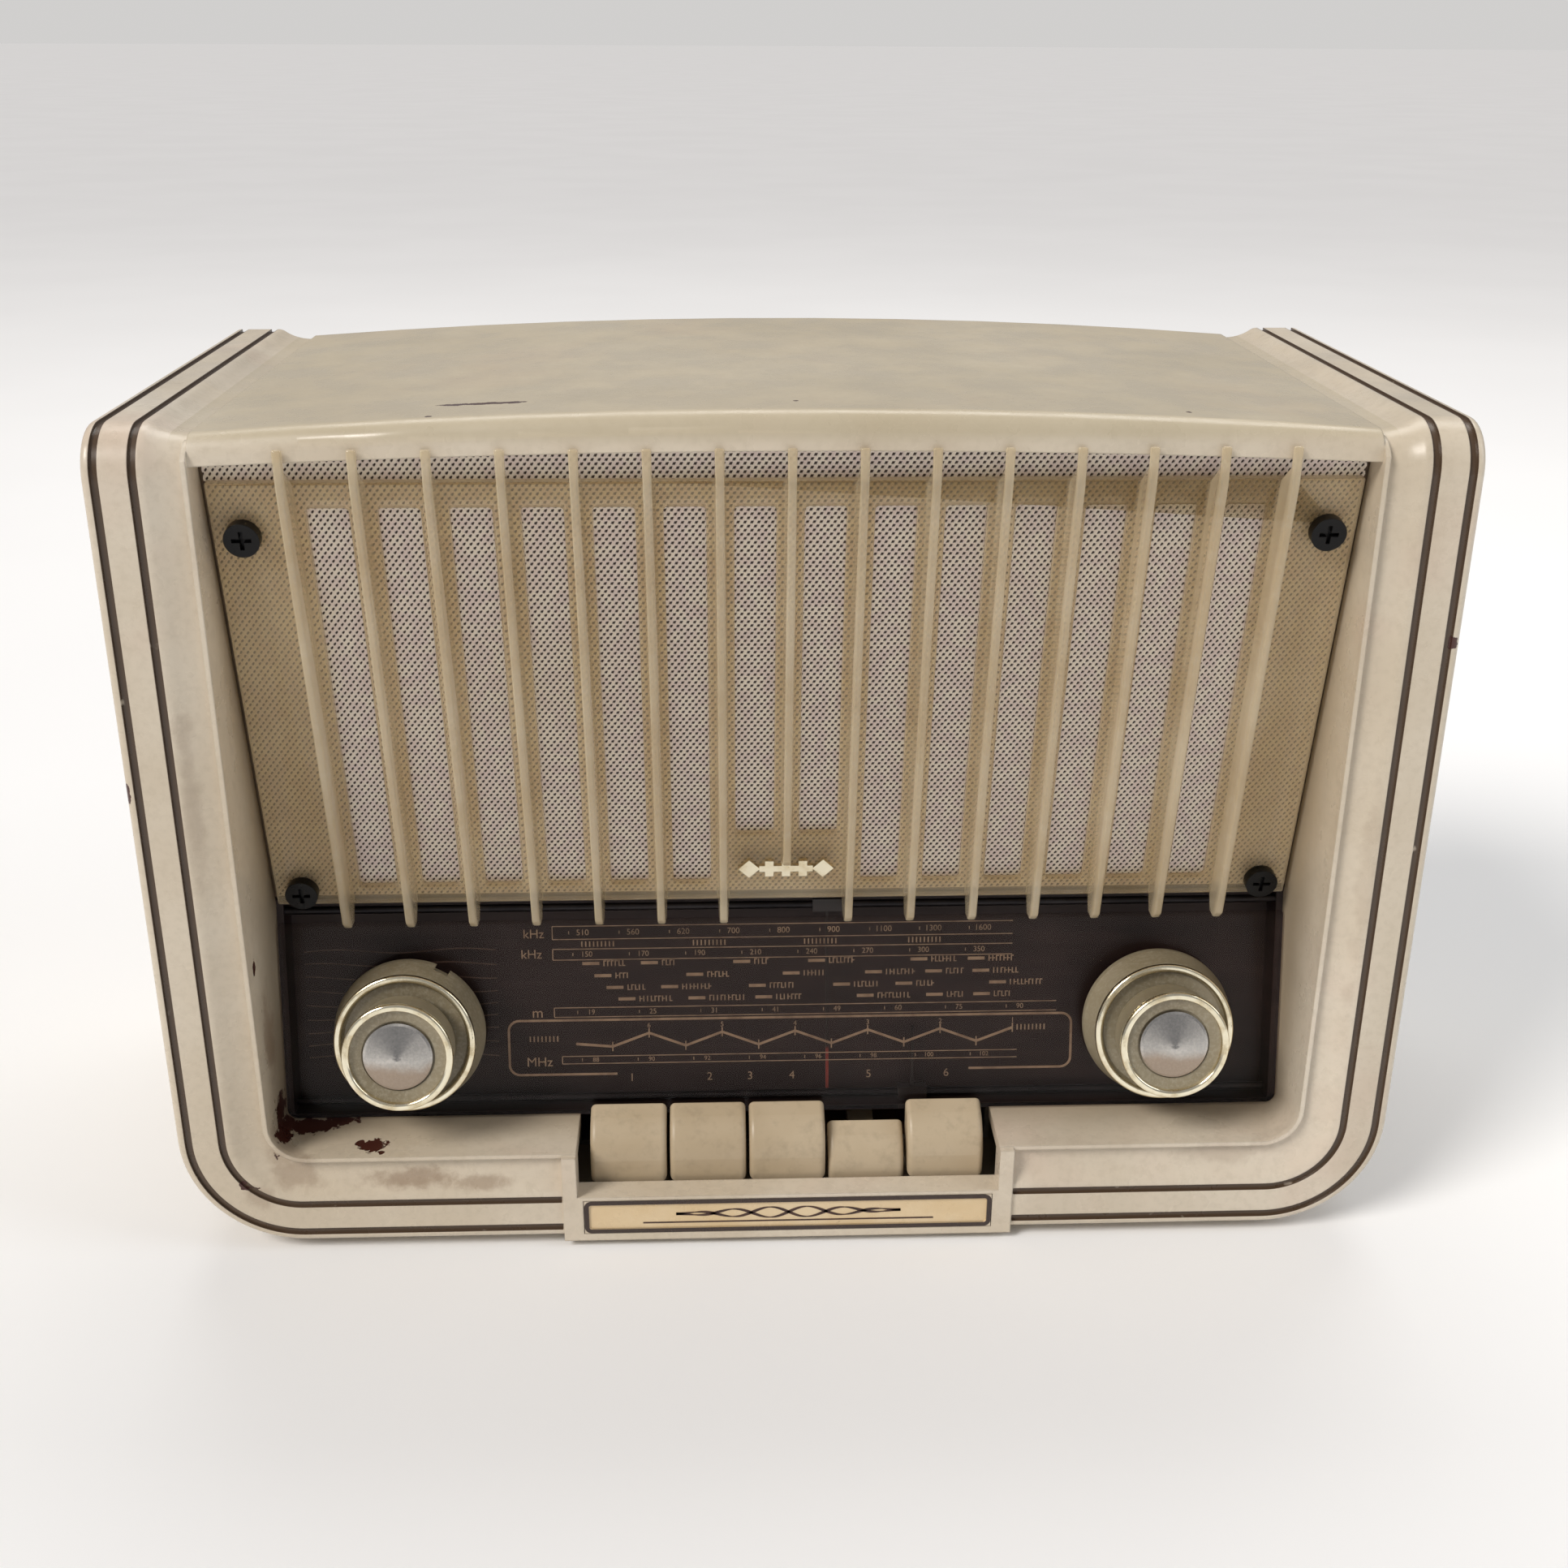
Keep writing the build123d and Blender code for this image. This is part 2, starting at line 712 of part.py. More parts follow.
# ---------------------------------------------------------------- dial
knob_hole_radius = 8
with BuildPart() as dial_glass:
    with BuildSketch(dial_plane(0)):
        with Locations((0, dial_glass_height / 2 + 0.3)):
            Rectangle(2 * glass_half, dial_glass_height)
        with Locations((-knob_x, knob_rise), (knob_x, knob_rise)):
            Circle(knob_hole_radius, mode=Mode.SUBTRACT)
    extrude(amount=-glass_thickness)
    fillet(dial_glass.edges().filter_by(Axis(dial_point(0, 0, 0), dial_normal)).group_by(Axis.Z)[0], 3)
    chamfer(dial_glass.edges().filter_by(Axis.X).sort_by(Axis.Z)[-1], 0.6)
save(dial_glass.part, "dial_glass")

pan_half = 156.5
pan_low = -1.2
pan_high = 68.4
pan_inner_half = 151.5
pan_inner_high = 66.9
pot_hole_radius = 5.1
with BuildPart() as dial_pan:
    with BuildSketch(dial_plane(pan_floor - sheet_steel)):
        with Locations((0, (pan_low + pan_high) / 2)):
            Rectangle(2 * pan_half, pan_high - pan_low)
    extrude(amount=-3.3 - pan_floor + sheet_steel)
    with BuildSketch(dial_plane(pan_floor)):
        with Locations((0, pan_inner_high / 2 + 0.2)):
            Rectangle(2 * pan_inner_half, pan_inner_high - 0.4)
    extrude(amount=20, mode=Mode.SUBTRACT)
    with BuildSketch(dial_plane(pan_floor - sheet_steel - 1)):
        with Locations((-knob_x, knob_rise), (knob_x, knob_rise)):
            Circle(pot_hole_radius)
    extrude(amount=4, mode=Mode.SUBTRACT)
    # seats for the pointer rails in the pan's ends
    for rise, out in (am_rail, fm_rail):
        with BuildSketch(rail_plane(rise, out)):
            Circle(rail_radius + 0.02)
        extrude(amount=2 * pan_half - 2, mode=Mode.SUBTRACT)
save(dial_pan.part, "dial_pan")

with BuildPart() as pointer_rails:
    for rise, out in (am_rail, fm_rail):
        with BuildSketch(rail_plane(rise, out)):
            Circle(rail_radius)
        extrude(amount=2 * pan_half - 2)
save(pointer_rails.part, "pointer_rails")


def pointer(name, x, rail, foot_rise, tip_rise):
    """A clip that slides on its rail and carries an upright needle."""
    rise, out = rail
    with BuildPart() as body:
        with BuildSketch(dial_plane(out - 1.9, x, rise)):
            Rectangle(9, 3.9)
        extrude(amount=3.8)
        with BuildSketch(dial_plane(out - 0.4, x, (foot_rise + tip_rise) / 2)):
            Rectangle(0.9, tip_rise - foot_rise)
        extrude(amount=0.8)
        with BuildSketch(Plane(origin=dial_point(x - 6, rise, out), x_dir=(0, 1, 0), z_dir=(1, 0, 0))):
            Circle(rail_radius + 0.06)
        extrude(amount=12, mode=Mode.SUBTRACT)
    save(body.part, name)


pointer("am_pointer", am_pointer_x, am_rail, 5.5, 63)
pointer("fm_pointer", fm_pointer_x, fm_rail, 4, 24)

lamp_spots = ((-96, 74), (96, 74))
lamp_out = -19
with BuildPart() as dial_lamps:
    for x, rise in lamp_spots:
        with BuildSketch(Plane(origin=dial_point(x, rise, lamp_out), x_dir=(0, 1, 0), z_dir=(1, 0, 0))):
            Circle(4.6)
        extrude(amount=16)
    fillet(dial_lamps.edges().filter_by(GeomType.CIRCLE), 2.2)
save(dial_lamps.part, "dial_lamps")

with BuildPart() as lamp_holders:
    for x, rise in lamp_spots:
        with BuildSketch(Plane(origin=dial_point(x, rise, lamp_out), x_dir=(0, 1, 0), z_dir=(1, 0, 0))):
            Circle(5.2)
        extrude(amount=-12)
        with BuildSketch(dial_plane(lamp_out + 1, x - 8, rise)):
            with Locations((0, -10)):
                Rectangle(6, 12)
        extrude(amount=-1.2)
        with BuildSketch(dial_plane(pan_floor - sheet_steel, x - 8, 62)):
            Rectangle(6, 12)
        extrude(amount=lamp_out - pan_floor + sheet_steel)
save(lamp_holders.part, "lamp_holders")

# ---------------------------------------------------------------- knobs
ring_width = 2.2


def outer_knob(name, x, notch_angle=None):
    """Hollow skirted knob on the tube shaft, dished in front for the inner knob."""
    with BuildPart() as body:
        with BuildSketch(knob_plane(x)):
            with BuildLine():
                Polyline(
                    (skirt_radius, 1.2),
                    (skirt_radius, 3.6),
                    (skirt_front_radius, skirt_length),
                    (skirt_front_radius - ring_width, skirt_length),
                    (skirt_front_radius - ring_width - 0.6, skirt_length - 0.8),
                    (tube_radius + 0.02, skirt_length - 0.8),
                    (tube_radius + 0.02, 1.2),
                    (6, 1.2),
                    (6, 8.6),
                    (18.4, 9),
                    (20.6, 1.2),
                    close=True,
                )
            make_face()
        revolve(axis=knob_axis(x))
        if notch_angle is not None:
            turn = radians(notch_angle)
            with BuildSketch(dial_plane(1, x + 22.6 * sin(turn), knob_rise + 22.6 * cos(turn))):
                Rectangle(4.4, 2.6, rotation=-notch_angle)
            extrude(amount=5, mode=Mode.SUBTRACT)
    save(body.part, name)


def trim_ring(name, x, radius, out):
    """Bright rounded ring on the front edge of a knob."""
    with BuildPart() as ring:
        with BuildSketch(knob_plane(x)) as profile:
            with Locations((radius - ring_width / 2, out + 0.8)):
                Rectangle(ring_width, 1.6)
            fillet(profile.vertices().group_by(Axis.Y)[-1], 0.75)
        revolve(axis=knob_axis(x))
    save(ring.part, name)


def inner_knob(name, x):
    """Front knob on the solid shaft, with seats for its ring and its spun cap."""
    with BuildPart() as body:
        with BuildSketch(knob_plane(x)):
            with BuildLine():
                Polyline(
                    (shaft_radius + 0.02, 14),
                    (15.2, 14),
                    (15.2, 15.4),
                    (inner_knob_radius, inner_knob_front),
                    (inner_knob_radius - ring_width, inner_knob_front),
                    (cap_radius + 0.5, inner_knob_front - 0.6),
                    (cap_radius + 0.5, inner_knob_front - 1.2),
                    (0, inner_knob_front - 1.2),
                    (0, inner_knob_front - 2.2),
                    (shaft_radius + 0.02, inner_knob_front - 2.2),
                    close=True,
                )
            make_face()
        revolve(axis=knob_axis(x))
    save(body.part, name)


def knob_cap(name, x):
    """Shallow cone of spun metal."""
    low = inner_knob_front - 1.2
    with BuildPart() as cap:
        with BuildSketch(knob_plane(x)):
            with BuildLine():
                Polyline(
                    (0, low),
                    (cap_radius, low),
                    (cap_radius, low + 1.3),
                    (9.4, low + 1.6),
                    (0, low + 3.1),
                    close=True,
                )
            make_face()
        revolve(axis=knob_axis(x))
    save(cap.part, name)


def rod(name, x, radius, back, front, bore=0):
    with BuildPart() as body:
        with BuildSketch(dial_plane(back, x, knob_rise)):
            Circle(radius)
            if bore:
                Circle(bore, mode=Mode.SUBTRACT)
        extrude(amount=front - back)
    save(body.part, name)


outer_knob("tone_knob", -knob_x, 28)
trim_ring("tone_knob_ring", -knob_x, skirt_front_radius, skirt_length)
inner_knob("volume_knob", -knob_x)
trim_ring("volume_knob_ring", -knob_x, inner_knob_radius, inner_knob_front)
knob_cap("volume_knob_cap", -knob_x)
rod("volume_shaft", -knob_x, shaft_radius, -34, inner_knob_front - 2.2)
rod("tone_shaft", -knob_x, tube_radius, -24, 9, tube_bore)

outer_knob("fm_tuning_knob", knob_x)
trim_ring("fm_tuning_knob_ring", knob_x, skirt_front_radius, skirt_length)
inner_knob("am_tuning_knob", knob_x)
trim_ring("am_tuning_knob_ring", knob_x, inner_knob_radius, inner_knob_front)
knob_cap("am_tuning_knob_cap", knob_x)

pot_front = pan_floor - sheet_steel
with BuildPart() as control_pot:
    with BuildSketch(dial_plane(pot_front, -knob_x, knob_rise)):
        Circle(12.5)
    extrude(amount=-21)
    with BuildSketch(dial_plane(pot_front, -knob_x, knob_rise)):
        Circle(pot_hole_radius - 0.05)
    extrude(amount=9)
    with BuildSketch(dial_plane(pan_floor, -knob_x, knob_rise)):
        RegularPolygon(7, 6)
    extrude(amount=2.4)
    with BuildSketch(dial_plane(-22, -knob_x, knob_rise)):
        with Locations((0, -16)):
            Rectangle(15, 10)
    extrude(amount=-1)
    with BuildSketch(dial_plane(-25, -knob_x, knob_rise)):
        Circle(bush_bore)
    extrude(amount=30, mode=Mode.SUBTRACT)
    with BuildSketch(dial_plane(-36, -knob_x, knob_rise)):
        Circle(tube_bore)
    extrude(amount=20, mode=Mode.SUBTRACT)
save(control_pot.part, "volume_tone_pot")

with BuildPart() as tuning_bearing:
    with BuildSketch(dial_plane(pot_front, knob_x, knob_rise)):
        Rectangle(24, 24)
    extrude(amount=-2)
    with BuildSketch(dial_plane(pot_front - 8, knob_x, knob_rise)):
        Circle(pot_hole_radius - 0.05)
    extrude(amount=17)
    with BuildSketch(dial_plane(pan_floor, knob_x, knob_rise)):
        RegularPolygon(7, 6)
    extrude(amount=2.4)
    with BuildSketch(dial_plane(-30, knob_x, knob_rise)):
        Circle(bush_bore)
    extrude(amount=30, mode=Mode.SUBTRACT)
save(tuning_bearing.part, "tuning_bearing")


def tuning_shaft(name, radius, back, front, spool_radius, spool_back, spool_length, bore=0):
    """Shaft with a small grooved spool for the drive cord."""
    with BuildPart() as shaft:
        with BuildSketch(dial_plane(back, knob_x, knob_rise)):
            Circle(radius)
        extrude(amount=front - back)
        for place in (spool_back, spool_back + spool_length - 1):
            with BuildSketch(dial_plane(place, knob_x, knob_rise)):
                Circle(spool_radius + 1.5)
            extrude(amount=1)
        with BuildSketch(dial_plane(spool_back, knob_x, knob_rise)):
            Circle(spool_radius)
        extrude(amount=spool_length)
        if bore:
            with BuildSketch(dial_plane(back - 1, knob_x, knob_rise)):
                Circle(bore)
            extrude(amount=front - back + 2, mode=Mode.SUBTRACT)
    save(shaft.part, name)


am_spool_radius = 4
fm_spool_radius = 6
tuning_shaft("fm_tuning_shaft", tube_radius, -31, 9, fm_spool_radius, -30.5, 6, tube_bore)
tuning_shaft("am_tuning_shaft", shaft_radius, -42, inner_knob_front - 2.2, am_spool_radius, -41.5, 8)

# ---------------------------------------------------------------- keys
axle_radius = 2
key_places = [key_pitch * (index - (key_count - 1) / 2) for index in range(key_count)]


def key_plane(x, angle):
    """Plane across a key at its pivot, turned by the key's angle; local depth and height from the pivot."""
    turn = radians(angle)
    origin = (x, front_y + key_pivot[0], lip_z + key_pivot[1])
    return Plane(origin=origin, x_dir=(0, cos(turn), sin(turn)), z_dir=(1, 0, 0))


for index, place in enumerate(key_places):
    number = index + 1
    tilt = key_travel if number == latched_key else 0
    depth, height = key_pivot
    with BuildPart() as key:
        with BuildSketch(key_plane(place - key_width / 2, tilt)):
            with BuildLine():
                Line((20.6 - depth, 13 - height), (8.8 - depth, 13 - height))
                Line((8.8 - depth, 13 - height), (8.8 - depth, 20.5 - height))
                ThreePointArc(
                    (8.8 - depth, 20.5 - height), (10.9 - depth, 26.6 - height), (16 - depth, 31.4 - height)
                )
                Line((16 - depth, 31.4 - height), (20.6 - depth, 33.4 - height))
                Line((20.6 - depth, 33.4 - height), (20.6 - depth, 13 - height))
            make_face()
        extrude(amount=key_width)
        front_edges = [
            edge
            for edge in key.edges().group_by(Axis.X)[0] + key.edges().group_by(Axis.X)[-1]
            if edge.center().Y < front_y + 19.5 and edge.center().Z > lip_z + 8
        ]
        fillet(front_edges, 1.7)
        with BuildSketch(key_plane(place - 4, tilt)):
            with BuildLine():
                Polyline(
                    (18 - depth, 14 - height),
                    (18 - depth, 22 - height),
                    (0, 1.5),
                    (0, -1.5),
                    close=True,
                )
            make_face()
            Circle(4.2)
            Circle(axle_radius + 0.05, mode=Mode.SUBTRACT)
        extrude(amount=8)
    save(key.part, "key_" + str(number))

frame_half = 67
with BuildPart() as key_frame:
    with BuildSketch(side_plane(-frame_half)):
        with Locations((60.5, 17)):
            Rectangle(35, 26)
    extrude(amount=2 * frame_half)
    with BuildSketch(side_plane(-frame_half + sheet_steel)):
        with Locations((59, 19)):
            Rectangle(35, 27)
    extrude(amount=2 * (frame_half - sheet_steel), mode=Mode.SUBTRACT)
    with BuildSketch(side_plane(-frame_half - 1)):
        with Locations((key_pivot[0], key_pivot[1])):
            Circle(axle_radius + 0.02)
    extrude(amount=2 * frame_half + 2, mode=Mode.SUBTRACT)
save(key_frame.part, "key_frame")

with BuildPart() as key_axle:
    with BuildSketch(side_plane(-frame_half - 1)):
        with Locations((key_pivot[0], key_pivot[1])):
            Circle(axle_radius)
    extrude(amount=2 * frame_half + 2)
save(key_axle.part, "key_axle")

with BuildPart() as band_switch:
    with BuildSketch(level_plane(5.5)):
        with Locations((0, 52)):
            Rectangle(122, 17)
    extrude(amount=5)
    with BuildSketch(level_plane(10.5)):
        with Locations((0, 52)):
            with GridLocations(key_pitch, 0, key_count, 1):
                Rectangle(14, 3)
    extrude(amount=0.8)
save(band_switch.part, "band_switch")

# ---------------------------------------------------------------- badge
with BuildPart() as badge_plate:
    plate_mid = (badge_plate_low + badge_plate_high) / 2
    plate_high = badge_plate_high - badge_plate_low
    with BuildSketch(face_plane(-badge_proud + 1.2)):
        with Locations((0, plate_mid)):
            Rectangle(2 * badge_plate_half, plate_high)
    extrude(amount=1.2)
    with BuildSketch(face_plane(-badge_proud + 0.5)):
        with Locations((0, plate_mid)):
            RectangleRounded(2 * badge_plate_half - 2.8, plate_high - 2.8, 1)
    extrude(amount=1, mode=Mode.SUBTRACT)
save(badge_plate.part, "badge_plate")

# ---------------------------------------------------------------- chassis and what stands on it
with BuildPart() as chassis:
    chassis_mid = (chassis_front + chassis_back) / 2
    chassis_depth = chassis_back - chassis_front
    with BuildSketch(level_plane(chassis_low)):
        with Locations((0, chassis_mid)):
            Rectangle(2 * chassis_half, chassis_depth)
    extrude(amount=chassis_top - chassis_low)
    with BuildSketch(level_plane(chassis_low + sheet_steel)):
        with Locations((0, chassis_mid)):
            Rectangle(2 * (chassis_half - sheet_steel), chassis_depth - 2 * sheet_steel)
    extrude(amount=chassis_top - chassis_low - 2 * sheet_steel, mode=Mode.SUBTRACT)
    with BuildSketch(level_plane(chassis_low - 1)):
        with Locations((0, chassis_mid)):
            Rectangle(2 * chassis_half - 30, chassis_depth - 46)
    extrude(amount=4, mode=Mode.SUBTRACT)
    with BuildSketch(level_plane(chassis_low - 1)):
        with Locations(*chassis_screw_places):
            Circle(2.1)
    extrude(amount=4, mode=Mode.SUBTRACT)
    # holes for the valve sockets and the socket plate
    with BuildSketch(level_plane(chassis_top - 5)):
        with Locations(*valve_places):
            Circle(socket_radius + 0.05)
    extrude(amount=8, mode=Mode.SUBTRACT)
    with BuildSketch(face_plane(chassis_back + 1)):
        with Locations((socket_x, socket_height)):
            Rectangle(socket_plate_width - 8, socket_plate_height - 8)
    extrude(amount=4, mode=Mode.SUBTRACT)
save(chassis.part, "chassis")

with BuildPart() as chassis_screws:
    for place in chassis_screw_places:
        with BuildSketch(level_plane(-plinth_height + 0.2)):
            with Locations(place):
                Circle(4.8)
        extrude(amount=1.8)
        with BuildSketch(level_plane(-plinth_height + 0.2)):
            with Locations(place):
                Circle(2.05)
        extrude(amount=12)
        with BuildSketch(level_plane(-plinth_height - 1)):
            with Locations(place):
                Rectangle(11, 1.2)
        extrude(amount=2, mode=Mode.SUBTRACT)
save(chassis_screws.part, "chassis_screws")

core_x = 120
core_depth = 126
with BuildPart() as transformer_core:
    with BuildSketch(face_plane(core_depth - 11)):
        with Locations((core_x, chassis_top + 24)):
            Rectangle(42, 48)
            with Locations((-10.5, 0), (10.5, 0)):
                Rectangle(9, 30, mode=Mode.SUBTRACT)
    extrude(amount=-22)
save(transformer_core.part, "transformer_core")

with BuildPart() as transformer_winding:
    with BuildSketch(level_plane(chassis_top + 9.3)):
        with Locations((core_x, core_depth)):
            RectangleRounded(29.4, 40, 4)
            Rectangle(12.1, 22.1, mode=Mode.SUBTRACT)
    extrude(amount=29.4)
save(transformer_winding.part, "transformer_winding")

output_x = -126
output_depth = 96
with BuildPart() as output_transformer:
    with BuildSketch(face_plane(output_depth - 7)):
        with Locations((output_x, chassis_top + 16)):
            Rectangle(30, 32)
    extrude(amount=-14)
    with BuildSketch(level_plane(chassis_top + 6)):
        with Locations((output_x, output_depth)):
            RectangleRounded(22, 26, 3)
    extrude(amount=20)
save(output_transformer.part, "output_transformer")

with BuildPart() as valves:
    for place, height in zip(valve_places, valve_heights):
        with BuildSketch(level_plane(chassis_top + socket_rise + 1)):
            with Locations(place):
                Circle(valve_radius)
        extrude(amount=height)
    rims = valves.edges().filter_by(GeomType.CIRCLE)
    fillet(rims.filter_by(lambda edge: edge.center().Z > lip_z + 80), 6)
    for place, height in zip(valve_places, valve_heights):
        with BuildSketch(level_plane(chassis_top + socket_rise + height)):
            with Locations(place):
                Circle(2)
        extrude(amount=5, taper=20)
save(valves.part, "valves")

with BuildPart() as valve_sockets:
    with BuildSketch(level_plane(chassis_top)):
        with Locations(*valve_places):
            Circle(socket_radius + 2)
    extrude(amount=socket_rise)
    with BuildSketch(level_plane(chassis_top - 6)):
        with Locations(*valve_places):
            Circle(socket_radius)
    extrude(amount=6)
save(valve_sockets.part, "valve_sockets")

with BuildPart() as screening_cans:
    for place, size, height in can_specs:
        with BuildSketch(level_plane(chassis_top)):
            with Locations(place):
                RectangleRounded(size[0], size[1], 2)
        extrude(amount=height)
    top_edges = screening_cans.edges().filter_by(lambda edge: edge.center().Z > lip_z + chassis_top + 20)
    fillet(top_edges.filter_by(lambda edge: abs(edge.tangent_at(0.5).Z) < 0.1), 1)
save(screening_cans.part, "screening_cans")

with BuildPart() as smoothing_capacitor:
    with BuildSketch(level_plane(chassis_top)):
        with Locations((30, 132)):
            Circle(12.5)
    extrude(amount=62)
    fillet(smoothing_capacitor.edges().group_by(Axis.Z)[-1], 1.5)
save(smoothing_capacitor.part, "smoothing_capacitor")

with BuildPart() as ferrite_aerial:
    with BuildSketch(side_plane(-110)):
        with Locations((aerial_depth, aerial_height)):
            Circle(4.6)
    extrude(amount=170)
    for place in (-84, 34):
        with BuildSketch(side_plane(place)):
            with Locations((aerial_depth, aerial_height)):
                Circle(9)
        extrude(amount=22)
    for place in (-46, 8):
        with BuildSketch(side_plane(place)):
            with Locations((aerial_depth, (aerial_height + chassis_top) / 2)):
                Rectangle(12, aerial_height - chassis_top)
        extrude(amount=3)
save(ferrite_aerial.part, "ferrite_aerial")

with BuildPart() as socket_plate:
    with BuildSketch(face_plane(chassis_back)):
        with Locations((socket_x, socket_height)):
            Rectangle(socket_plate_width, socket_plate_height)
            with GridLocations(13, 11, 6, 2):
                Circle(2.1, mode=Mode.SUBTRACT)
    extrude(amount=-2)
save(socket_plate.part, "socket_plate")

cover_face = case_depth + pocket_depth
with BuildPart() as lead_grommet:
    with BuildSketch(face_plane(cover_face - cover_sheet - 1.5)):
        with Locations((grommet_x, socket_height)):
            Circle(8)
    extrude(amount=-1.5)
    with BuildSketch(face_plane(cover_face - cover_sheet)):
        with Locations((grommet_x, socket_height)):
            Circle(grommet_groove_radius)
    extrude(amount=-cover_sheet)
    with BuildSketch(face_plane(cover_face)):
        with Locations((grommet_x, socket_height)):
            Circle(8)
    extrude(amount=-grommet_lip)
    with BuildSketch(face_plane(cover_face - cover_sheet - 2)):
        with Locations((grommet_x, socket_height)):
            Circle(3.4)
    extrude(amount=-8, mode=Mode.SUBTRACT)
save(lead_grommet.part, "lead_grommet")

# ---------------------------------------------------------------- tuning capacitor and its drum
rotor_bore = 3.05
rotor_rest_angle = 256   # direction of the plates' missing half at this station
rotor_shaft_radius = 3
end_plate = 1.5
cap_front = 98
cap_back = 138
with BuildPart() as capacitor_frame:
    with BuildSketch(face_plane(cap_front)):
        with Locations((drum_x, drum_height)):
            Rectangle(44, 44)
    extrude(amount=-(cap_back - cap_front))
    with BuildSketch(face_plane(cap_front + end_plate)):
        with Locations((drum_x, drum_height + 4)):
            Rectangle(41, 50)
    extrude(amount=-(cap_back - cap_front - 2 * end_plate), mode=Mode.SUBTRACT)
    # stator plates on a bar at the left
    with BuildSketch(face_plane(cap_front + end_plate)):
        with Locations((drum_x - 19.5, drum_height)):
            Rectangle(2, 24)
    extrude(amount=-(cap_back - cap_front - 2 * end_plate))
    for index in range(5):
        with BuildSketch(face_plane(cap_front + 6 + index * plate_pitch)):
            with Locations((drum_x - 12, drum_height)):
                Rectangle(14, 24)
        extrude(amount=-0.8)
    # pedestal to the chassis
    with BuildSketch(level_plane(chassis_top)):
        with Locations((drum_x, (cap_front + cap_back) / 2)):
            Rectangle(30, 30)
    extrude(amount=drum_height - 22 - chassis_top)
    with BuildSketch(face_plane(cap_front - 5)):
        with Locations((drum_x, drum_height)):
            Circle(rotor_bore)
    extrude(amount=-60, mode=Mode.SUBTRACT)
save(capacitor_frame.part, "capacitor_frame")

with BuildPart() as capacitor_rotor:
    with BuildSketch(face_plane(drum_depth - 3)):
        with Locations((drum_x, drum_height)):
            Circle(rotor_shaft_radius)
    extrude(amount=-(cap_back + 3 - drum_depth))
    for index in range(5):
        with BuildSketch(face_plane(cap_front + 8.6 + index * plate_pitch)):
            with Locations((drum_x, drum_height)):
                Circle(16)
                with PolarLocations(8, 1, start_angle=rotor_rest_angle):
                    Rectangle(16, 34, mode=Mode.SUBTRACT)
                Circle(5)
        extrude(amount=-0.8)
save(capacitor_rotor.part, "capacitor_rotor")

with BuildPart() as tuning_drum:
    with BuildSketch(face_plane(drum_depth)):
        with Locations((drum_x, drum_height)):
            Circle(drum_radius + 2)
    extrude(amount=-5)
    with BuildSketch(face_plane(drum_depth + 1.2)):
        with Locations((drum_x, drum_height)):
            Circle(drum_radius + 3)
            Circle(drum_radius, mode=Mode.SUBTRACT)
    extrude(amount=-2.6, mode=Mode.SUBTRACT)
    with BuildSketch(face_plane(drum_depth)):
        with Locations((drum_x, drum_height)):
            with PolarLocations(27, 4):
                Circle(11)
            Circle(rotor_shaft_radius + 0.02)
    extrude(amount=-6, mode=Mode.SUBTRACT)
save(tuning_drum.part, "tuning_drum")
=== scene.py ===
"""Looks of a cream bakelite table radio: materials, speaker cloth, dial print, badge and lighting."""
import json
import math
import random

import bmesh
import bpy
import numpy as np
from mathutils import Matrix, Vector

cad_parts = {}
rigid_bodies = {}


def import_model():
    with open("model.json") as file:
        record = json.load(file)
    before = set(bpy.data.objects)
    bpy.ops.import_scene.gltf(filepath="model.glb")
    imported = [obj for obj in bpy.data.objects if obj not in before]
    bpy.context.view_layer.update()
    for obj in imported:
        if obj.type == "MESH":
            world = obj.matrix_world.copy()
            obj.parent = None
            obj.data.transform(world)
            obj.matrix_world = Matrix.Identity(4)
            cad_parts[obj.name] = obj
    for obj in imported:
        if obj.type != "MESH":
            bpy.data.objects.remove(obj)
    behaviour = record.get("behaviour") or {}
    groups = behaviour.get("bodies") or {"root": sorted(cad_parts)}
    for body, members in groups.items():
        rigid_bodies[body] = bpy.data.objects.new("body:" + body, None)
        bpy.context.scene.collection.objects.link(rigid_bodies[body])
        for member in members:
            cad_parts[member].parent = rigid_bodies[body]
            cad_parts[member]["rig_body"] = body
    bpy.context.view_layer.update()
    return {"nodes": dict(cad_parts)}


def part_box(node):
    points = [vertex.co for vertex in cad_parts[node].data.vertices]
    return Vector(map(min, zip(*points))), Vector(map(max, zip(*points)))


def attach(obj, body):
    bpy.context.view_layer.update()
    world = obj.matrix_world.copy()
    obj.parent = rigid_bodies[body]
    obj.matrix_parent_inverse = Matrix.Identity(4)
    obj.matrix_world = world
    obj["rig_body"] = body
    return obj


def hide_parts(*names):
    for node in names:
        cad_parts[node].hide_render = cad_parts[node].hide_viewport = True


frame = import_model()
nodes = frame["nodes"]
case_body = "radio_case"
scene = bpy.context.scene

# ---------------------------------------------------------------- sizes, in metres, taken from the frame
mm = 0.001
case_low, case_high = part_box("cabinet")
half_width = case_high.x
badge_proud = 0.8 * mm
front_y = case_low.y + badge_proud
lip_z = 3.6 * mm
rail_top = lip_z + 245 * mm
lower_radius = 35 * mm
upper_radius = 13 * mm
groove_width = 2 * mm
paint_spill = 0.2 * mm       # the grooves' paint covers a little more than the groove
groove_places = (3.5 * mm, 13.2 * mm)
badge_block_half = 68.2 * mm

window_half = 159 * mm       # half width that takes in the window and the header
dial_lean = math.radians(12)
dial_foot = (22 * mm, 29 * mm)
grille_lean = math.radians(10.8)
grille_foot = (34.5 * mm, 96 * mm)


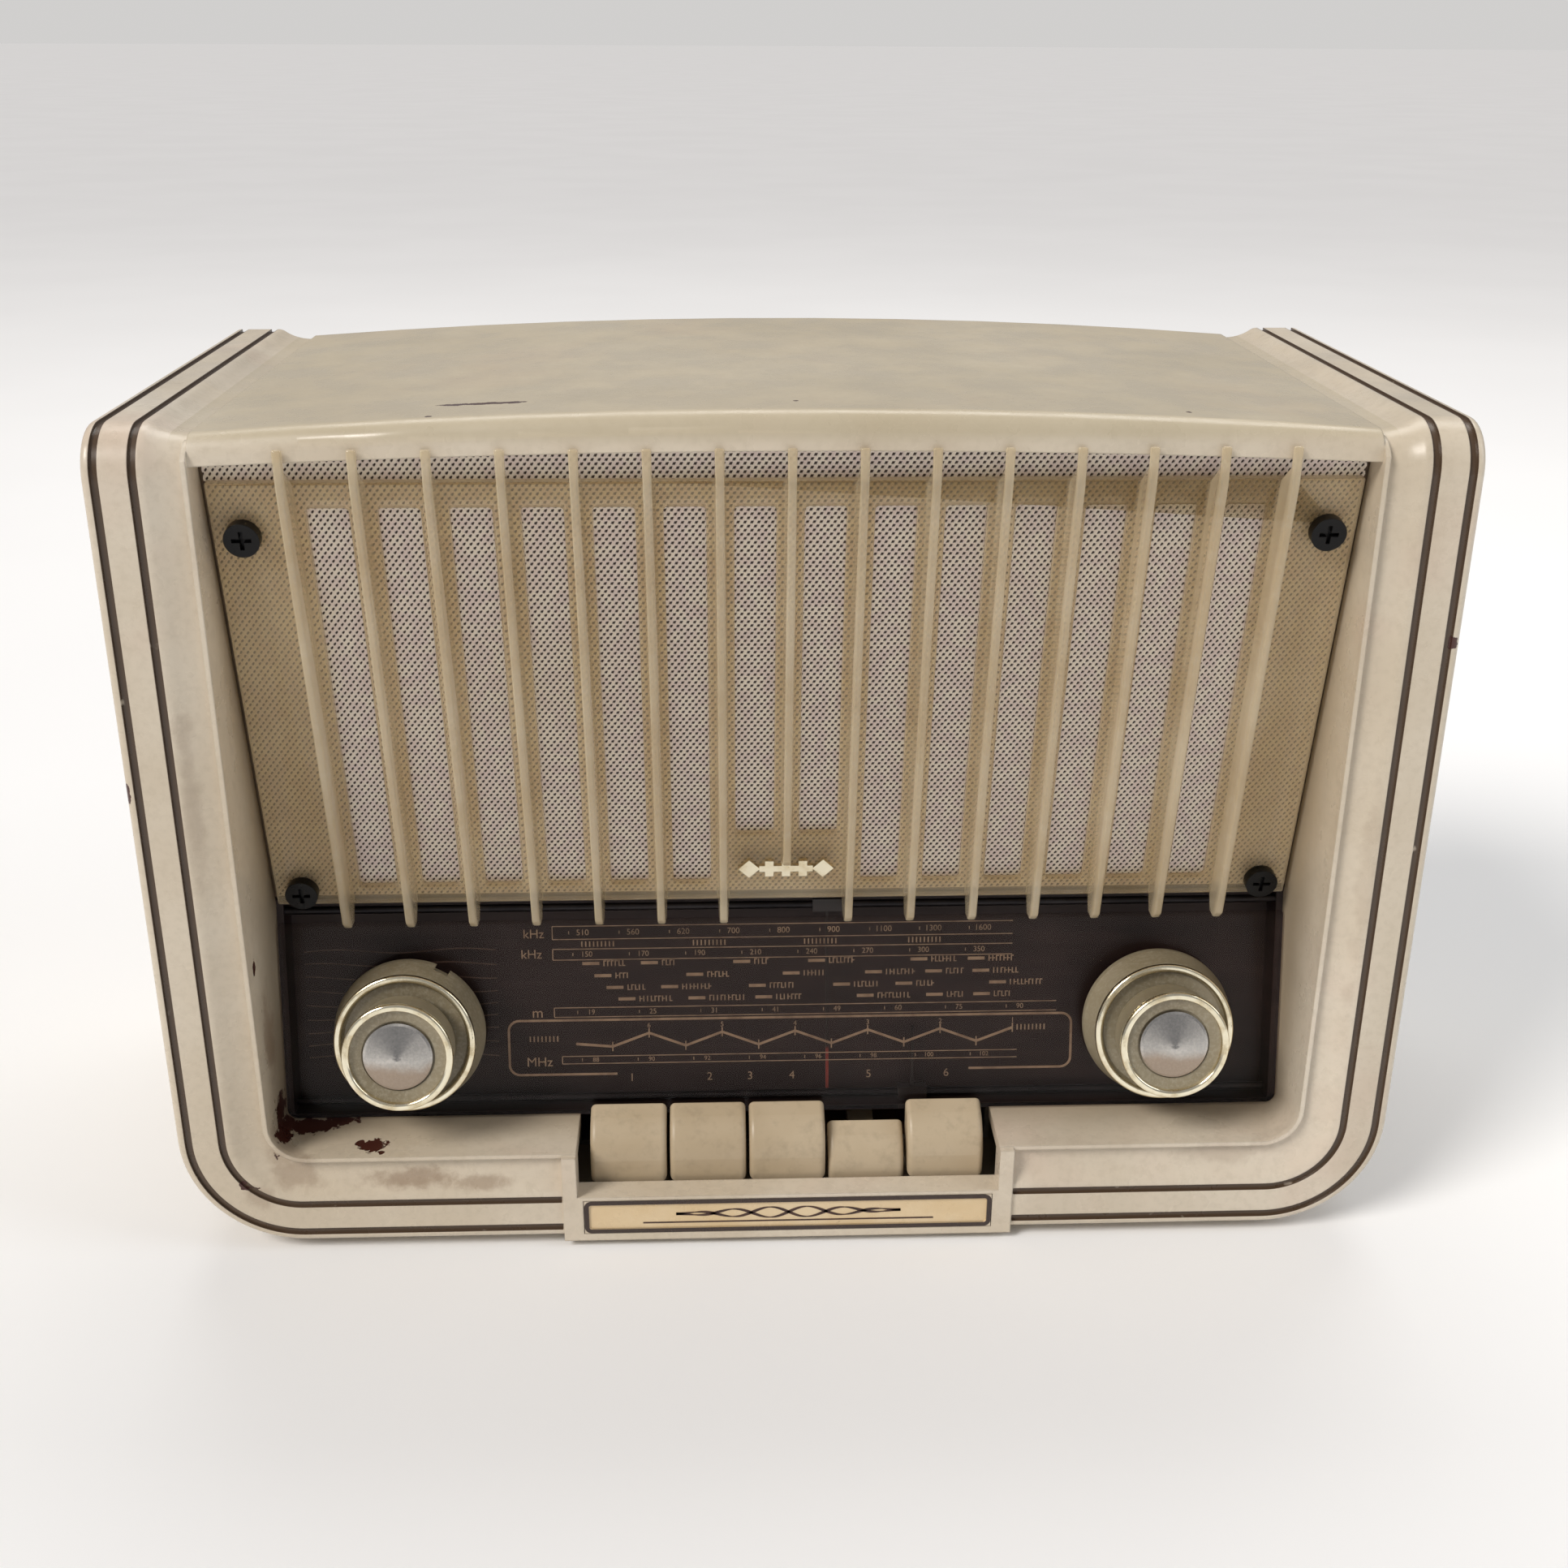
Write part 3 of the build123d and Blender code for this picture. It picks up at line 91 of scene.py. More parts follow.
def leaning_point(foot, lean, x, rise, out):
    """Point on a leaning panel: x, distance up its face, distance out of its face."""
    depth = foot[0] + math.sin(lean) * rise - math.cos(lean) * out
    height = foot[1] + math.cos(lean) * rise + math.sin(lean) * out
    return Vector((x, front_y + depth, lip_z + height))


def dial_point(x, rise, out=0.0):
    return leaning_point(dial_foot, dial_lean, x, rise, out)


def grille_point(x, rise, out=0.0):
    return leaning_point(grille_foot, -grille_lean, x, rise, out)


# ---------------------------------------------------------------- node graphs
class Graph:
    """A material under construction: each method adds one node and returns its output socket."""

    def __init__(self, name):
        self.material = bpy.data.materials.new(name)
        self.material.use_nodes = True
        self.tree = self.material.node_tree
        self.tree.nodes.clear()
        self.object_point = self.node("ShaderNodeTexCoord").outputs["Object"]

    def node(self, kind):
        return self.tree.nodes.new(kind)

    def feed(self, socket, value):
        if isinstance(value, bpy.types.NodeSocket):
            self.tree.links.new(value, socket)
        elif isinstance(value, (tuple, list)) and len(value) == 3 and socket.type == "RGBA":
            socket.default_value = (*value, 1)
        else:
            socket.default_value = value

    def math(self, operation, first, second=0.0, third=None):
        node = self.node("ShaderNodeMath")
        node.operation = operation
        self.feed(node.inputs[0], first)
        self.feed(node.inputs[1], second)
        if third is not None:
            self.feed(node.inputs[2], third)
        return node.outputs[0]

    def step(self, value, low, high, start=0.0, end=1.0):
        """Smooth step of value from low to high."""
        node = self.node("ShaderNodeMapRange")
        node.interpolation_type = "SMOOTHSTEP"
        self.feed(node.inputs["Value"], value)
        node.inputs["From Min"].default_value = low
        node.inputs["From Max"].default_value = high
        node.inputs["To Min"].default_value = start
        node.inputs["To Max"].default_value = end
        return node.outputs["Result"]

    def axes(self, point=None):
        node = self.node("ShaderNodeSeparateXYZ")
        self.feed(node.inputs[0], point or self.object_point)
        return node.outputs[0], node.outputs[1], node.outputs[2]

    def moved(self, place, turn=(0, 0, 0), scale=(1, 1, 1)):
        """Object coordinates about a place, turned and scaled."""
        node = self.node("ShaderNodeMapping")
        node.vector_type = "TEXTURE"
        self.feed(node.inputs["Vector"], self.object_point)
        node.inputs["Location"].default_value = place
        node.inputs["Rotation"].default_value = turn
        node.inputs["Scale"].default_value = scale
        return node.outputs[0]

    def stretched(self, scale):
        node = self.node("ShaderNodeMapping")
        self.feed(node.inputs["Vector"], self.object_point)
        node.inputs["Scale"].default_value = scale
        return node.outputs[0]

    def noise(self, scale, detail=3.0, rough=0.55, point=None, distortion=0.0):
        node = self.node("ShaderNodeTexNoise")
        self.feed(node.inputs["Vector"], point or self.object_point)
        node.inputs["Scale"].default_value = scale
        node.inputs["Detail"].default_value = detail
        node.inputs["Roughness"].default_value = rough
        node.inputs["Distortion"].default_value = distortion
        return node.outputs["Fac"]

    def cells(self, scale, point=None, feature="F1"):
        node = self.node("ShaderNodeTexVoronoi")
        node.feature = feature
        self.feed(node.inputs["Vector"], point or self.object_point)
        node.inputs["Scale"].default_value = scale
        return node.outputs["Distance"]

    def length(self, vector):
        node = self.node("ShaderNodeVectorMath")
        node.operation = "LENGTH"
        self.feed(node.inputs[0], vector)
        return node.outputs["Value"]

    def mix(self, factor, first, second):
        node = self.node("ShaderNodeMix")
        node.data_type = "RGBA"
        self.feed(node.inputs[0], factor)
        self.feed(node.inputs[6], first)
        self.feed(node.inputs[7], second)
        return node.outputs[2]

    def bump(self, height, distance, strength=1.0, normal=None):
        node = self.node("ShaderNodeBump")
        node.inputs["Strength"].default_value = strength
        node.inputs["Distance"].default_value = distance
        self.feed(node.inputs["Height"], height)
        if normal is not None:
            self.feed(node.inputs["Normal"], normal)
        return node.outputs[0]

    def soft_edges(self, radius):
        node = self.node("ShaderNodeBevel")
        node.samples = 4
        node.inputs["Radius"].default_value = radius
        return node.outputs[0]

    def principled(self, **values):
        node = self.node("ShaderNodeBsdfPrincipled")
        for name, value in values.items():
            self.feed(node.inputs[name.replace("_", " ")], value)
        return node.outputs[0]

    def finish(self, shader):
        output = self.node("ShaderNodeOutputMaterial")
        self.tree.links.new(shader, output.inputs["Surface"])
        return self.material


# ---------------------------------------------------------------- case paint
bakelite = (0.060, 0.016, 0.010)
paint_cream = (0.60, 0.51, 0.385)
paint_pale = (0.70, 0.62, 0.50)
# painted shade colour for the window's walls and ledge
recess_shade_colour = (0.34, 0.27, 0.18)
groove_brown = (0.085, 0.050, 0.026)


def groove_mask(graph):
    """One inside the two coloured grooves that follow the frame's outline, on its front and its rails."""
    x, y, z = graph.axes()
    side = graph.math("SUBTRACT", graph.math("ABSOLUTE", x), half_width - lower_radius)
    down = graph.math("SUBTRACT", lip_z + lower_radius, z)
    side_out = graph.math("MAXIMUM", side, 0.0)
    down_out = graph.math("MAXIMUM", down, 0.0)
    squares = graph.math("ADD", graph.math("POWER", side_out, 2.0), graph.math("POWER", down_out, 2.0))
    corner = graph.math("SQRT", squares)
    inner = graph.math("MINIMUM", graph.math("MAXIMUM", side, down), 0.0)
    inset = graph.math("SUBTRACT", lower_radius, graph.math("ADD", corner, inner))
    half = groove_width / 2 + paint_spill
    bands = None
    for place in groove_places:
        off_middle = graph.math("ABSOLUTE", graph.math("SUBTRACT", inset, place))
        band = graph.step(off_middle, half, half - 0.15 * mm)
        bands = band if bands is None else graph.math("MAXIMUM", bands, band)
    face = graph.math("LESS_THAN", y, front_y + 1.2 * mm)
    rails = graph.math("GREATER_THAN", z, rail_top - upper_radius - 0.5 * mm)
    clear_of_badge = graph.math("GREATER_THAN", graph.math("ABSOLUTE", x), badge_block_half)
    placed = graph.math("MULTIPLY", graph.math("MAXIMUM", face, rails), clear_of_badge)
    return graph.math("MULTIPLY", bands, placed)


# place, then half sizes, in millimetres, of each spot where the paint has come away
chips = (
    ((-80, -66.5, 250.6), (11.0, 1.5, 3.2)),
    ((-152, -78, 34), (3.2, 8.5, 4.5)),
    ((-146, -71.5, 32.5), (9.5, 4.2, 4)),
    ((-137, -69, 32), (6, 2.6, 2.5)),
    ((-153.5, -73, 39), (1.5, 6, 4.5)),
    ((-124.5, -83, 32), (4.2, 3.0, 2)),
    ((-128.8, -81.2, 32), (1.7, 1.5, 1.5)),
    ((-121.5, -86.6, 32), (1.3, 1.2, 1.2)),
    ((-153.5, -82.7, 92.8), (1.5, 1.5, 2.4)),
    ((-162.1, -90.7, 24.2), (1.3, 1.2, 0.9)),
    ((-160.4, -90.7, 22.8), (2.4, 1.2, 0.6)),
    ((-150.6, -90.0, 32.0), (1.5, 1.2, 0.8)),
    ((-93, -81, 249.3), (0.9, 0.9, 1.5)),
    ((148, -54.9, 249), (1.8, 1.2, 1.5)),
    ((104.6, -75.8, 249.5), (0.8, 0.9, 1.5)),
    ((1.6, -71.9, 251.6), (0.8, 0.7, 1.5)),
    ((-145.6, -75.9, 248.6), (1.0, 0.9, 1.5)),
    ((178, -90, 190), (1.4, 1.2, 2.2)),
    ((-179.4, -90, 150), (1.0, 1.4, 3.0)),
)
# place and half sizes, in millimetres, then strength of each brown stain
stains = (
    ((-112, -88, 24), (13, 6, 3.5), 0.55),
    ((-92, -88, 22), (9, 6, 2.5), 0.45),
    ((-146, -88, 26), (8, 6, 6), 0.40),
    ((-158, -88, 20), (5, 6, 5), 0.30),
    ((-153.5, -76, 66), (3, 6, 14), 0.50),
    ((-150, -86, 34), (6, 5, 8), 0.35),
    ((132, -86, 28), (16, 8, 4), 0.22),
    ((-163, -88, 150), (3, 6, 30), 0.22),
    ((164, -88, 120), (3, 6, 40), 0.16),
)


def spots(graph, places, spread, low, high):
    """Largest of several soft-edged blobs, ragged by the spread noise."""
    result = None
    for place, size, *strength in places:
        near = graph.moved(tuple(v * mm for v in place), scale=tuple(v * mm for v in size))
        away = graph.math("ADD", graph.length(near), spread)
        spot = graph.step(away, high, low, 0.0, *(strength or (1.0,)))
        result = spot if result is None else graph.math("MAXIMUM", result, spot)
    return result


def painted_case():
    graph = Graph("painted_case")
    x, y, z = graph.axes()
    edges = graph.soft_edges(0.7 * mm)
    colour = graph.mix(graph.step(graph.noise(9, 4, 0.6), 0.35, 0.68), paint_cream, paint_pale)
    warm = graph.step(graph.noise(17, 3, 0.6), 0.50, 0.75, 0.0, 0.45)
    colour = graph.mix(warm, colour, (0.60, 0.44, 0.34))
    streaks = graph.noise(14, 3, 0.5, graph.stretched((1, 1, 0.12)))
    colour = graph.mix(graph.step(streaks, 0.50, 0.72, 0.0, 0.30), colour, (0.37, 0.31, 0.21))
    fine = graph.noise(420, 3, 0.6)
    colour = graph.mix(graph.step(fine, 0.4, 0.75, 0.0, 0.16), colour, (0.34, 0.28, 0.19))
    # painted shade: the window's walls and ledge are darkened towards the back; the top is given a darker olive
    # tone
    inside = graph.math("LESS_THAN", graph.math("ABSOLUTE", x), window_half)
    deep = graph.step(y, front_y + 5 * mm, front_y + 30 * mm, 0.0, 0.85)
    under_top = graph.math("LESS_THAN", z, rail_top - 12 * mm)
    recess_shade_mask = graph.math("MULTIPLY", graph.math("MULTIPLY", inside, deep), under_top)
    colour = graph.mix(recess_shade_mask, colour, recess_shade_colour)
    top = graph.step(z, rail_top - 5.5 * mm, rail_top - 1.5 * mm, 0.0, 0.62)
    colour = graph.mix(graph.math("MULTIPLY", top, inside), colour, (0.47, 0.40, 0.265))
    # faint scratches, grey rubs and brown stains
    rub = graph.step(graph.noise(38, 6, 0.7, distortion=1.5), 0.60, 0.80, 0.0, 0.06)
    colour = graph.mix(rub, colour, (0.34, 0.26, 0.17))
    ragged = graph.math("MULTIPLY", graph.math("SUBTRACT", graph.noise(120, 5, 0.65), 0.5), 2.2)
    colour = graph.mix(spots(graph, stains, ragged, 0.45, 1.25), colour, (0.20, 0.11, 0.055))
    wear = graph.step(graph.noise(160, 2, 0.5), 0.20, 0.30)
    colour = graph.mix(graph.math("MULTIPLY", groove_mask(graph), wear), colour, groove_brown)
    # chips down to the brown moulding
    rough_edge = graph.math("MULTIPLY", graph.math("SUBTRACT", graph.noise(330, 5, 0.65), 0.5), 2.6)
    specks = graph.step(graph.cells(62), 0.034, 0.026)
    rare = graph.step(graph.noise(21, 2), 0.68, 0.70)
    chipped = spots(graph, chips, rough_edge, 0.94, 1.02)
    chipped = graph.math("MAXIMUM", chipped, graph.math("MULTIPLY", specks, rare))
    colour = graph.mix(chipped, colour, bakelite)
    rough = graph.step(graph.noise(55, 4, 0.6), 0.3, 0.75, 0.22, 0.42)
    rough = graph.math("ADD", rough, graph.math("MULTIPLY", recess_shade_mask, 0.12))
    orange_peel = graph.bump(graph.noise(900, 2, 0.5), 0.05 * mm, 0.35, edges)
    normal = graph.bump(graph.math("SUBTRACT", 1.0, chipped), 0.25 * mm, 0.8, orange_peel)
    paint = graph.principled(
        Base_Color=colour, Roughness=rough, Normal=normal, Coat_Weight=0.15, Coat_Roughness=0.25
    )
    return graph.finish(paint)


# ---------------------------------------------------------------- grille, cloth and badge materials
def amber_plastic():
    """Translucent amber plastic: a tinted clear share, and a cloudy glossy share."""
    graph = Graph("amber_plastic")
    cloud = graph.noise(22, 4, 0.6)
    colour = graph.mix(graph.step(cloud, 0.3, 0.7), (0.62, 0.50, 0.32), (0.76, 0.66, 0.48))
    dust = graph.step(graph.noise(240, 4, 0.7), 0.45, 0.8, 0.0, 0.3)
    colour = graph.mix(dust, colour, (0.84, 0.76, 0.62))
    rough = graph.step(graph.noise(70, 4), 0.3, 0.7, 0.10, 0.24)
    normal = graph.bump(graph.noise(140, 2), 0.12 * mm, 0.4)
    plastic = graph.principled(
        Base_Color=colour, Roughness=rough, Normal=normal, IOR=1.49, Coat_Weight=0.8, Coat_Roughness=0.08
    )
    clear = graph.node("ShaderNodeBsdfTransparent")
    graph.feed(clear.inputs["Color"], (0.96, 0.91, 0.80))
    facing = graph.node("ShaderNodeLayerWeight")
    facing.inputs["Blend"].default_value = 0.45
    share = graph.step(facing.outputs["Facing"], 0.0, 0.85, 0.82, 0.35)
    # the fins are thicker than the plate, so they let less through
    x, y, z = graph.axes()
    root = grille_point(0, 0)
    forward = graph.math("MULTIPLY", graph.math("SUBTRACT", root.y, y), math.cos(grille_lean))
    downward = graph.math("MULTIPLY", graph.math("SUBTRACT", root.z, z), math.sin(grille_lean))
    out = graph.math("ADD", forward, downward)
    share = graph.math("MULTIPLY", share, graph.step(out, 0.6 * mm, 1.6 * mm, 1.0, 0.66))
    blend = graph.node("ShaderNodeMixShader")
    graph.tree.links.new(share, blend.inputs[0])
    graph.tree.links.new(plastic, blend.inputs[1])
    graph.tree.links.new(clear.outputs[0], blend.inputs[2])
    return graph.finish(blend.outputs[0])


weave_x = 1.85 * mm
weave_rise = 2.4 * mm


def woven_cloth():
    graph = Graph("woven_cloth")
    weave = graph.node("ShaderNodeAttribute")
    weave.attribute_name = "weave"
    height = weave.outputs["Fac"]
    hue = graph.step(graph.noise(260, 2), 0.35, 0.65)
    thread = graph.mix(hue, (0.92, 0.84, 0.74), (0.84, 0.72, 0.68))
    thread = graph.mix(graph.step(graph.noise(11, 3), 0.45, 0.75, 0.0, 0.35), thread, (0.72, 0.62, 0.46))
    # the weave's low points stand for the real gaps between threads; their near-black is painted shade
    colour = graph.mix(graph.step(height, 0.27, 0.50), (0.028, 0.013, 0.009), thread)
    fibre = graph.noise(5200, 2, 0.6, graph.stretched((1, 1, 0.25)))
    return graph.finish(
        graph.principled(Base_Color=colour, Roughness=0.62, Sheen_Weight=0.25, Sheen_Roughness=0.4,
                         Normal=graph.bump(fibre, 0.06 * mm, 0.5))
    )


def dial_tray():
    graph = Graph("dial_tray")
    waves = graph.noise(60, 2, 0.4, graph.stretched((0.35, 1, 3)))
    colour = graph.mix(graph.step(waves, 0.4, 0.7), (0.024, 0.013, 0.012), (0.036, 0.021, 0.020))
    return graph.finish(graph.principled(Base_Color=colour, Roughness=0.5))


def clear_glass():
    graph = Graph("clear_glass")
    sheen = graph.node("ShaderNodeBsdfGlossy")
    sheen.inputs["Roughness"].default_value = 0.06
    clear = graph.node("ShaderNodeBsdfTransparent")
    graph.feed(clear.inputs["Color"], (0.90, 0.86, 0.84))
    facing = graph.node("ShaderNodeFresnel")
    facing.inputs["IOR"].default_value = 1.20
    blend = graph.node("ShaderNodeMixShader")
    graph.tree.links.new(facing.outputs[0], blend.inputs[0])
    graph.tree.links.new(clear.outputs[0], blend.inputs[1])
    graph.tree.links.new(sheen.outputs[0], blend.inputs[2])
    return graph.finish(blend.outputs[0])


def plain(
    name,
    dark,
    light,
    rough=(0.3, 0.5),
    metallic=0.0,
    grain=120,
    dent=0.05,
    soft=0.3,
    stretch=(1, 1, 1),
    gloss=0.5,
):
    """A surface with mottled colour, uneven gloss, fine bumps and soft edges; dent and soft in millimetres."""
    graph = Graph(name)
    point = graph.stretched(stretch)
    broad = graph.noise(grain * 0.25, 4, 0.6, point)
    fine = graph.noise(grain * 4, 3, 0.6, point)
    colour = graph.mix(graph.step(broad, 0.32, 0.68), dark, light)
    colour = graph.mix(graph.step(fine, 0.45, 0.8, 0.0, 0.35), colour, tuple(v * 0.6 for v in dark))
    edges = graph.soft_edges(soft * mm)
    return graph.finish(
        graph.principled(
            Base_Color=colour,
            Metallic=metallic,
            Roughness=graph.step(graph.noise(grain, 3), 0.3, 0.7, *rough),
            Specular_IOR_Level=gloss,
            Normal=graph.bump(fine, dent * mm, 0.5, edges),
        )
    )


def knob_plastic():
    graph = Graph("knob_plastic")
    grain = graph.noise(900, 4, 0.7)
    broad = graph.noise(40, 3, 0.5)
    colour = graph.mix(graph.step(broad, 0.3, 0.7), (0.22, 0.18, 0.11), (0.29, 0.245, 0.16))
    colour = graph.mix(graph.step(grain, 0.42, 0.70, 0.0, 0.5), colour, (0.40, 0.36, 0.27))
    edges = graph.soft_edges(0.35 * mm)
    return graph.finish(
        graph.principled(Base_Color=colour, Roughness=graph.step(grain, 0.3, 0.7, 0.30, 0.46),
                         Normal=graph.bump(grain, 0.06 * mm, 0.5, edges), Coat_Weight=0.2, Coat_Roughness=0.2)
    )


def gilt():
    graph = Graph("gilt_metal")
    worn = graph.step(graph.noise(150, 4, 0.6), 0.40, 0.75)
    colour = graph.mix(worn, (0.93, 0.86, 0.66), (0.72, 0.60, 0.38))
    return graph.finish(
        graph.principled(Base_Color=colour, Metallic=1.0, Roughness=graph.step(worn, 0.0, 1.0, 0.12, 0.32),
                         Normal=graph.soft_edges(0.3 * mm))
    )


def spun_metal():
    graph = Graph("spun_metal")
    tangent = graph.node("ShaderNodeTangent")
    tangent.direction_type = "RADIAL"
    tangent.axis = "Y"
    fine = graph.noise(1400, 2)
    colour = graph.mix(graph.step(fine, 0.35, 0.7), (0.50, 0.48, 0.45), (0.60, 0.57, 0.53))
    x, y, z = graph.axes()
    axis_z = (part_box("volume_knob_cap")[0].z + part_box("volume_knob_cap")[1].z) / 2
    # painted reflection: the cap's lower half is tinted brown, standing for a brown surface reflected below it
    patchy = graph.math("ADD", z, graph.math("MULTIPLY", graph.noise(90, 3), 6 * mm))
    lower_painted_reflection = graph.step(patchy, axis_z + 2.5 * mm, axis_z - 1.5 * mm, 0.0, 0.7)
    colour = graph.mix(lower_painted_reflection, colour, (0.32, 0.22, 0.14))
    return graph.finish(
        graph.principled(Base_Color=colour, Metallic=1.0, Roughness=0.22, Anisotropic=0.9,
                         Tangent=tangent.outputs[0], Normal=graph.bump(fine, 0.01 * mm, 0.3))
    )


def printed_ink():
    graph = Graph("printed_ink")
    faded = graph.step(graph.noise(220, 3, 0.6), 0.35, 0.7)
    colour = graph.mix(faded, (0.52, 0.40, 0.27), (0.34, 0.25, 0.17))
    return graph.finish(graph.principled(Base_Color=colour, Roughness=0.6, Specular_IOR_Level=0.2))


def faint_ink():
    graph = Graph("faint_ink")
    faded = graph.step(graph.noise(120, 3, 0.6), 0.3, 0.7)
    colour = graph.mix(faded, (0.15, 0.105, 0.085), (0.085, 0.058, 0.048))
    return graph.finish(graph.principled(Base_Color=colour, Roughness=0.6, Specular_IOR_Level=0.2))


def rounded_inset(graph, across, up, half_across, half_up, corner):
    """Signed distance to a rounded rectangle, negative inside."""
    side = graph.math("SUBTRACT", graph.math("ABSOLUTE", across), half_across - corner)
    over = graph.math("SUBTRACT", graph.math("ABSOLUTE", up), half_up - corner)
    out_side = graph.math("POWER", graph.math("MAXIMUM", side, 0.0), 2.0)
    out_over = graph.math("POWER", graph.math("MAXIMUM", over, 0.0), 2.0)
    away = graph.math("SQRT", graph.math("ADD", out_side, out_over))
    near = graph.math("MINIMUM", graph.math("MAXIMUM", side, over), 0.0)
    return graph.math("SUBTRACT", graph.math("ADD", away, near), corner)


badge_mid_z = lip_z + 7.1 * mm
badge_half = (61.6 * mm, 5.7 * mm)


def badge_enamel():
    graph = Graph("badge_enamel")
    x, y, z = graph.axes()
    up = graph.math("SUBTRACT", z, badge_mid_z)
    inset = rounded_inset(graph, x, up, badge_half[0], badge_half[1], 2.2 * mm)
    cream = graph.mix(graph.step(graph.noise(34, 4, 0.6), 0.35, 0.7), (0.70, 0.52, 0.29), (0.77, 0.61, 0.39))
    brown = graph.step(graph.noise(52, 5, 0.7, distortion=0.6), 0.62, 0.70)
    cream = graph.mix(brown, cream, (0.22, 0.09, 0.035))
    border = graph.step(inset, -1.5 * mm, -1.3 * mm)
    colour = graph.mix(border, cream, (0.030, 0.013, 0.008))
    colour = graph.mix(graph.step(inset, -0.05 * mm, 0.1 * mm), colour, paint_cream)
    enamel = graph.principled(
        Base_Color=colour,
        Roughness=graph.step(graph.noise(180, 5, 0.65), 0.3, 0.7, 0.22, 0.42),
        Coat_Weight=0.3,
        Coat_Roughness=0.15,
        Normal=graph.soft_edges(0.3 * mm),
    )
    return graph.finish(enamel)


def needle_paint():
    """Dark needle with a red stretch at its foot."""
    graph = Graph("needle_paint")
    x, y, z = graph.axes()
    foot = graph.step(z, lip_z + 45 * mm, lip_z + 47 * mm)
    aged = graph.step(graph.noise(200, 2), 0.4, 0.6, 0.0, 0.6)
    red = graph.mix(aged, (0.30, 0.045, 0.030), (0.16, 0.030, 0.022))
    colour = graph.mix(foot, red, (0.020, 0.014, 0.012))
    return graph.finish(graph.principled(Base_Color=colour, Roughness=0.4))


def coat(material, *names):
    """Gives CAD nodes a material."""
    for name in names:
        mesh = nodes[name].data
        mesh.materials.clear()
        mesh.materials.append(material)


# what shows from the front
coat(painted_case(), "cabinet")
coat(clear_glass(), "dial_glass")
coat(dial_tray(), "dial_pan")
coat(badge_enamel(), "badge_plate")
coat(needle_paint(), "am_pointer")
coat(plain("dark_needle", (0.016, 0.012, 0.011), (0.03, 0.022, 0.02)), "fm_pointer")
key_cream = plain("key_cream", (0.43, 0.335, 0.215), (0.53, 0.43, 0.295), (0.28, 0.42), grain=60, soft=0.5)
coat(key_cream, "key_1", "key_2", "key_3", "key_4", "key_5")
coat(knob_plastic(), "am_tuning_knob", "fm_tuning_knob", "volume_knob", "tone_knob")
gilt_metal = gilt()
coat(gilt_metal, "am_tuning_knob_ring", "fm_tuning_knob_ring", "volume_knob_ring", "tone_knob_ring")
coat(gilt_metal, "grille_emblem")
coat(spun_metal(), "am_tuning_knob_cap", "volume_knob_cap")
black_screw = plain(
    "black_screw", (0.003, 0.003, 0.003), (0.008, 0.007, 0.007), (0.25, 0.4), grain=200, gloss=0.2
)
coat(black_screw, "grille_screws")

# the back, the underside and the works
pressed_board = plain(
    "pressed_board", (0.13, 0.085, 0.048), (0.20, 0.135, 0.08), (0.6, 0.8), grain=260, dent=0.2
)
coat(pressed_board, "back_cover", "baffle_board")
zinc_plate = plain("zinc_plate", (0.36, 0.36, 0.33), (0.50, 0.50, 0.47), (0.35, 0.55), 0.9, 90)
coat(zinc_plate, "chassis", "key_frame", "speaker_basket", "capacitor_frame")
coat(zinc_plate, "volume_tone_pot", "output_transformer", "lamp_holders")
bright_steel = plain("bright_steel", (0.52, 0.52, 0.51), (0.64, 0.64, 0.63), (0.2, 0.35), 1.0, 120)
coat(bright_steel, "am_tuning_shaft", "volume_shaft", "key_axle")
coat(bright_steel, "wood_screws", "back_cover_screws", "chassis_screws")
blued_steel = plain("blued_steel", (0.020, 0.018, 0.020), (0.045, 0.040, 0.042), (0.3, 0.45), 0.8, 160)
coat(blued_steel, "pointer_rails")
turned_brass = plain("turned_brass", (0.52, 0.36, 0.14), (0.66, 0.49, 0.22), (0.2, 0.4), 1.0, 120)
coat(turned_brass, "fm_tuning_shaft", "tone_shaft", "tuning_bearing")
iron_laminations = plain(
    "iron_laminations", (0.05, 0.045, 0.04), (0.11, 0.10, 0.09), (0.4, 0.6), 0.6, 100, 0.2, 0.2, (1, 12, 1)
)
coat(iron_laminations, "transformer_core")
waxed_paper = plain("waxed_paper", (0.30, 0.20, 0.08), (0.44, 0.32, 0.15), (0.3, 0.5), grain=80)
coat(waxed_paper, "transformer_winding")
brown_phenolic = plain("brown_phenolic", (0.10, 0.045, 0.020), (0.17, 0.08, 0.035), (0.4, 0.6), grain=300)
coat(brown_phenolic, "valve_sockets", "socket_plate", "band_switch", "tuning_drum")
drawn_aluminium = plain(
    "drawn_aluminium", (0.58, 0.58, 0.58), (0.70, 0.70, 0.70), (0.28, 0.42), 1.0, 80, 0.03, 0.3, (1, 1, 0.2)
)
coat(drawn_aluminium, "screening_cans", "smoothing_capacitor", "capacitor_rotor")
dark_ferrite = plain("dark_ferrite", (0.03, 0.028, 0.027), (0.06, 0.05, 0.045), (0.4, 0.6), grain=300)
coat(dark_ferrite, "ferrite_aerial")
coat(plain("grey_casting", (0.09, 0.09, 0.09), (0.15, 0.15, 0.145), (0.45, 0.65), 0.4, 150), "speaker_magnet")
cone_paper = plain("cone_paper", (0.025, 0.022, 0.020), (0.045, 0.038, 0.032), (0.75, 0.9), grain=500, dent=0.1)
coat(cone_paper, "speaker_cone")
black_rubber = plain("black_rubber", (0.012, 0.012, 0.012), (0.03, 0.03, 0.028), (0.5, 0.7), grain=200)
coat(black_rubber, "rubber_feet", "lead_grommet")


def bulb_glass(name, tint):
    graph = Graph(name)
    silver = graph.step(graph.noise(40, 2), 0.5, 0.75)
    glass = graph.principled(Base_Color=graph.mix(silver, tint, (0.30, 0.31, 0.33)), Roughness=0.06, IOR=1.5,
                             Transmission_Weight=0.7)
    return graph.finish(glass)


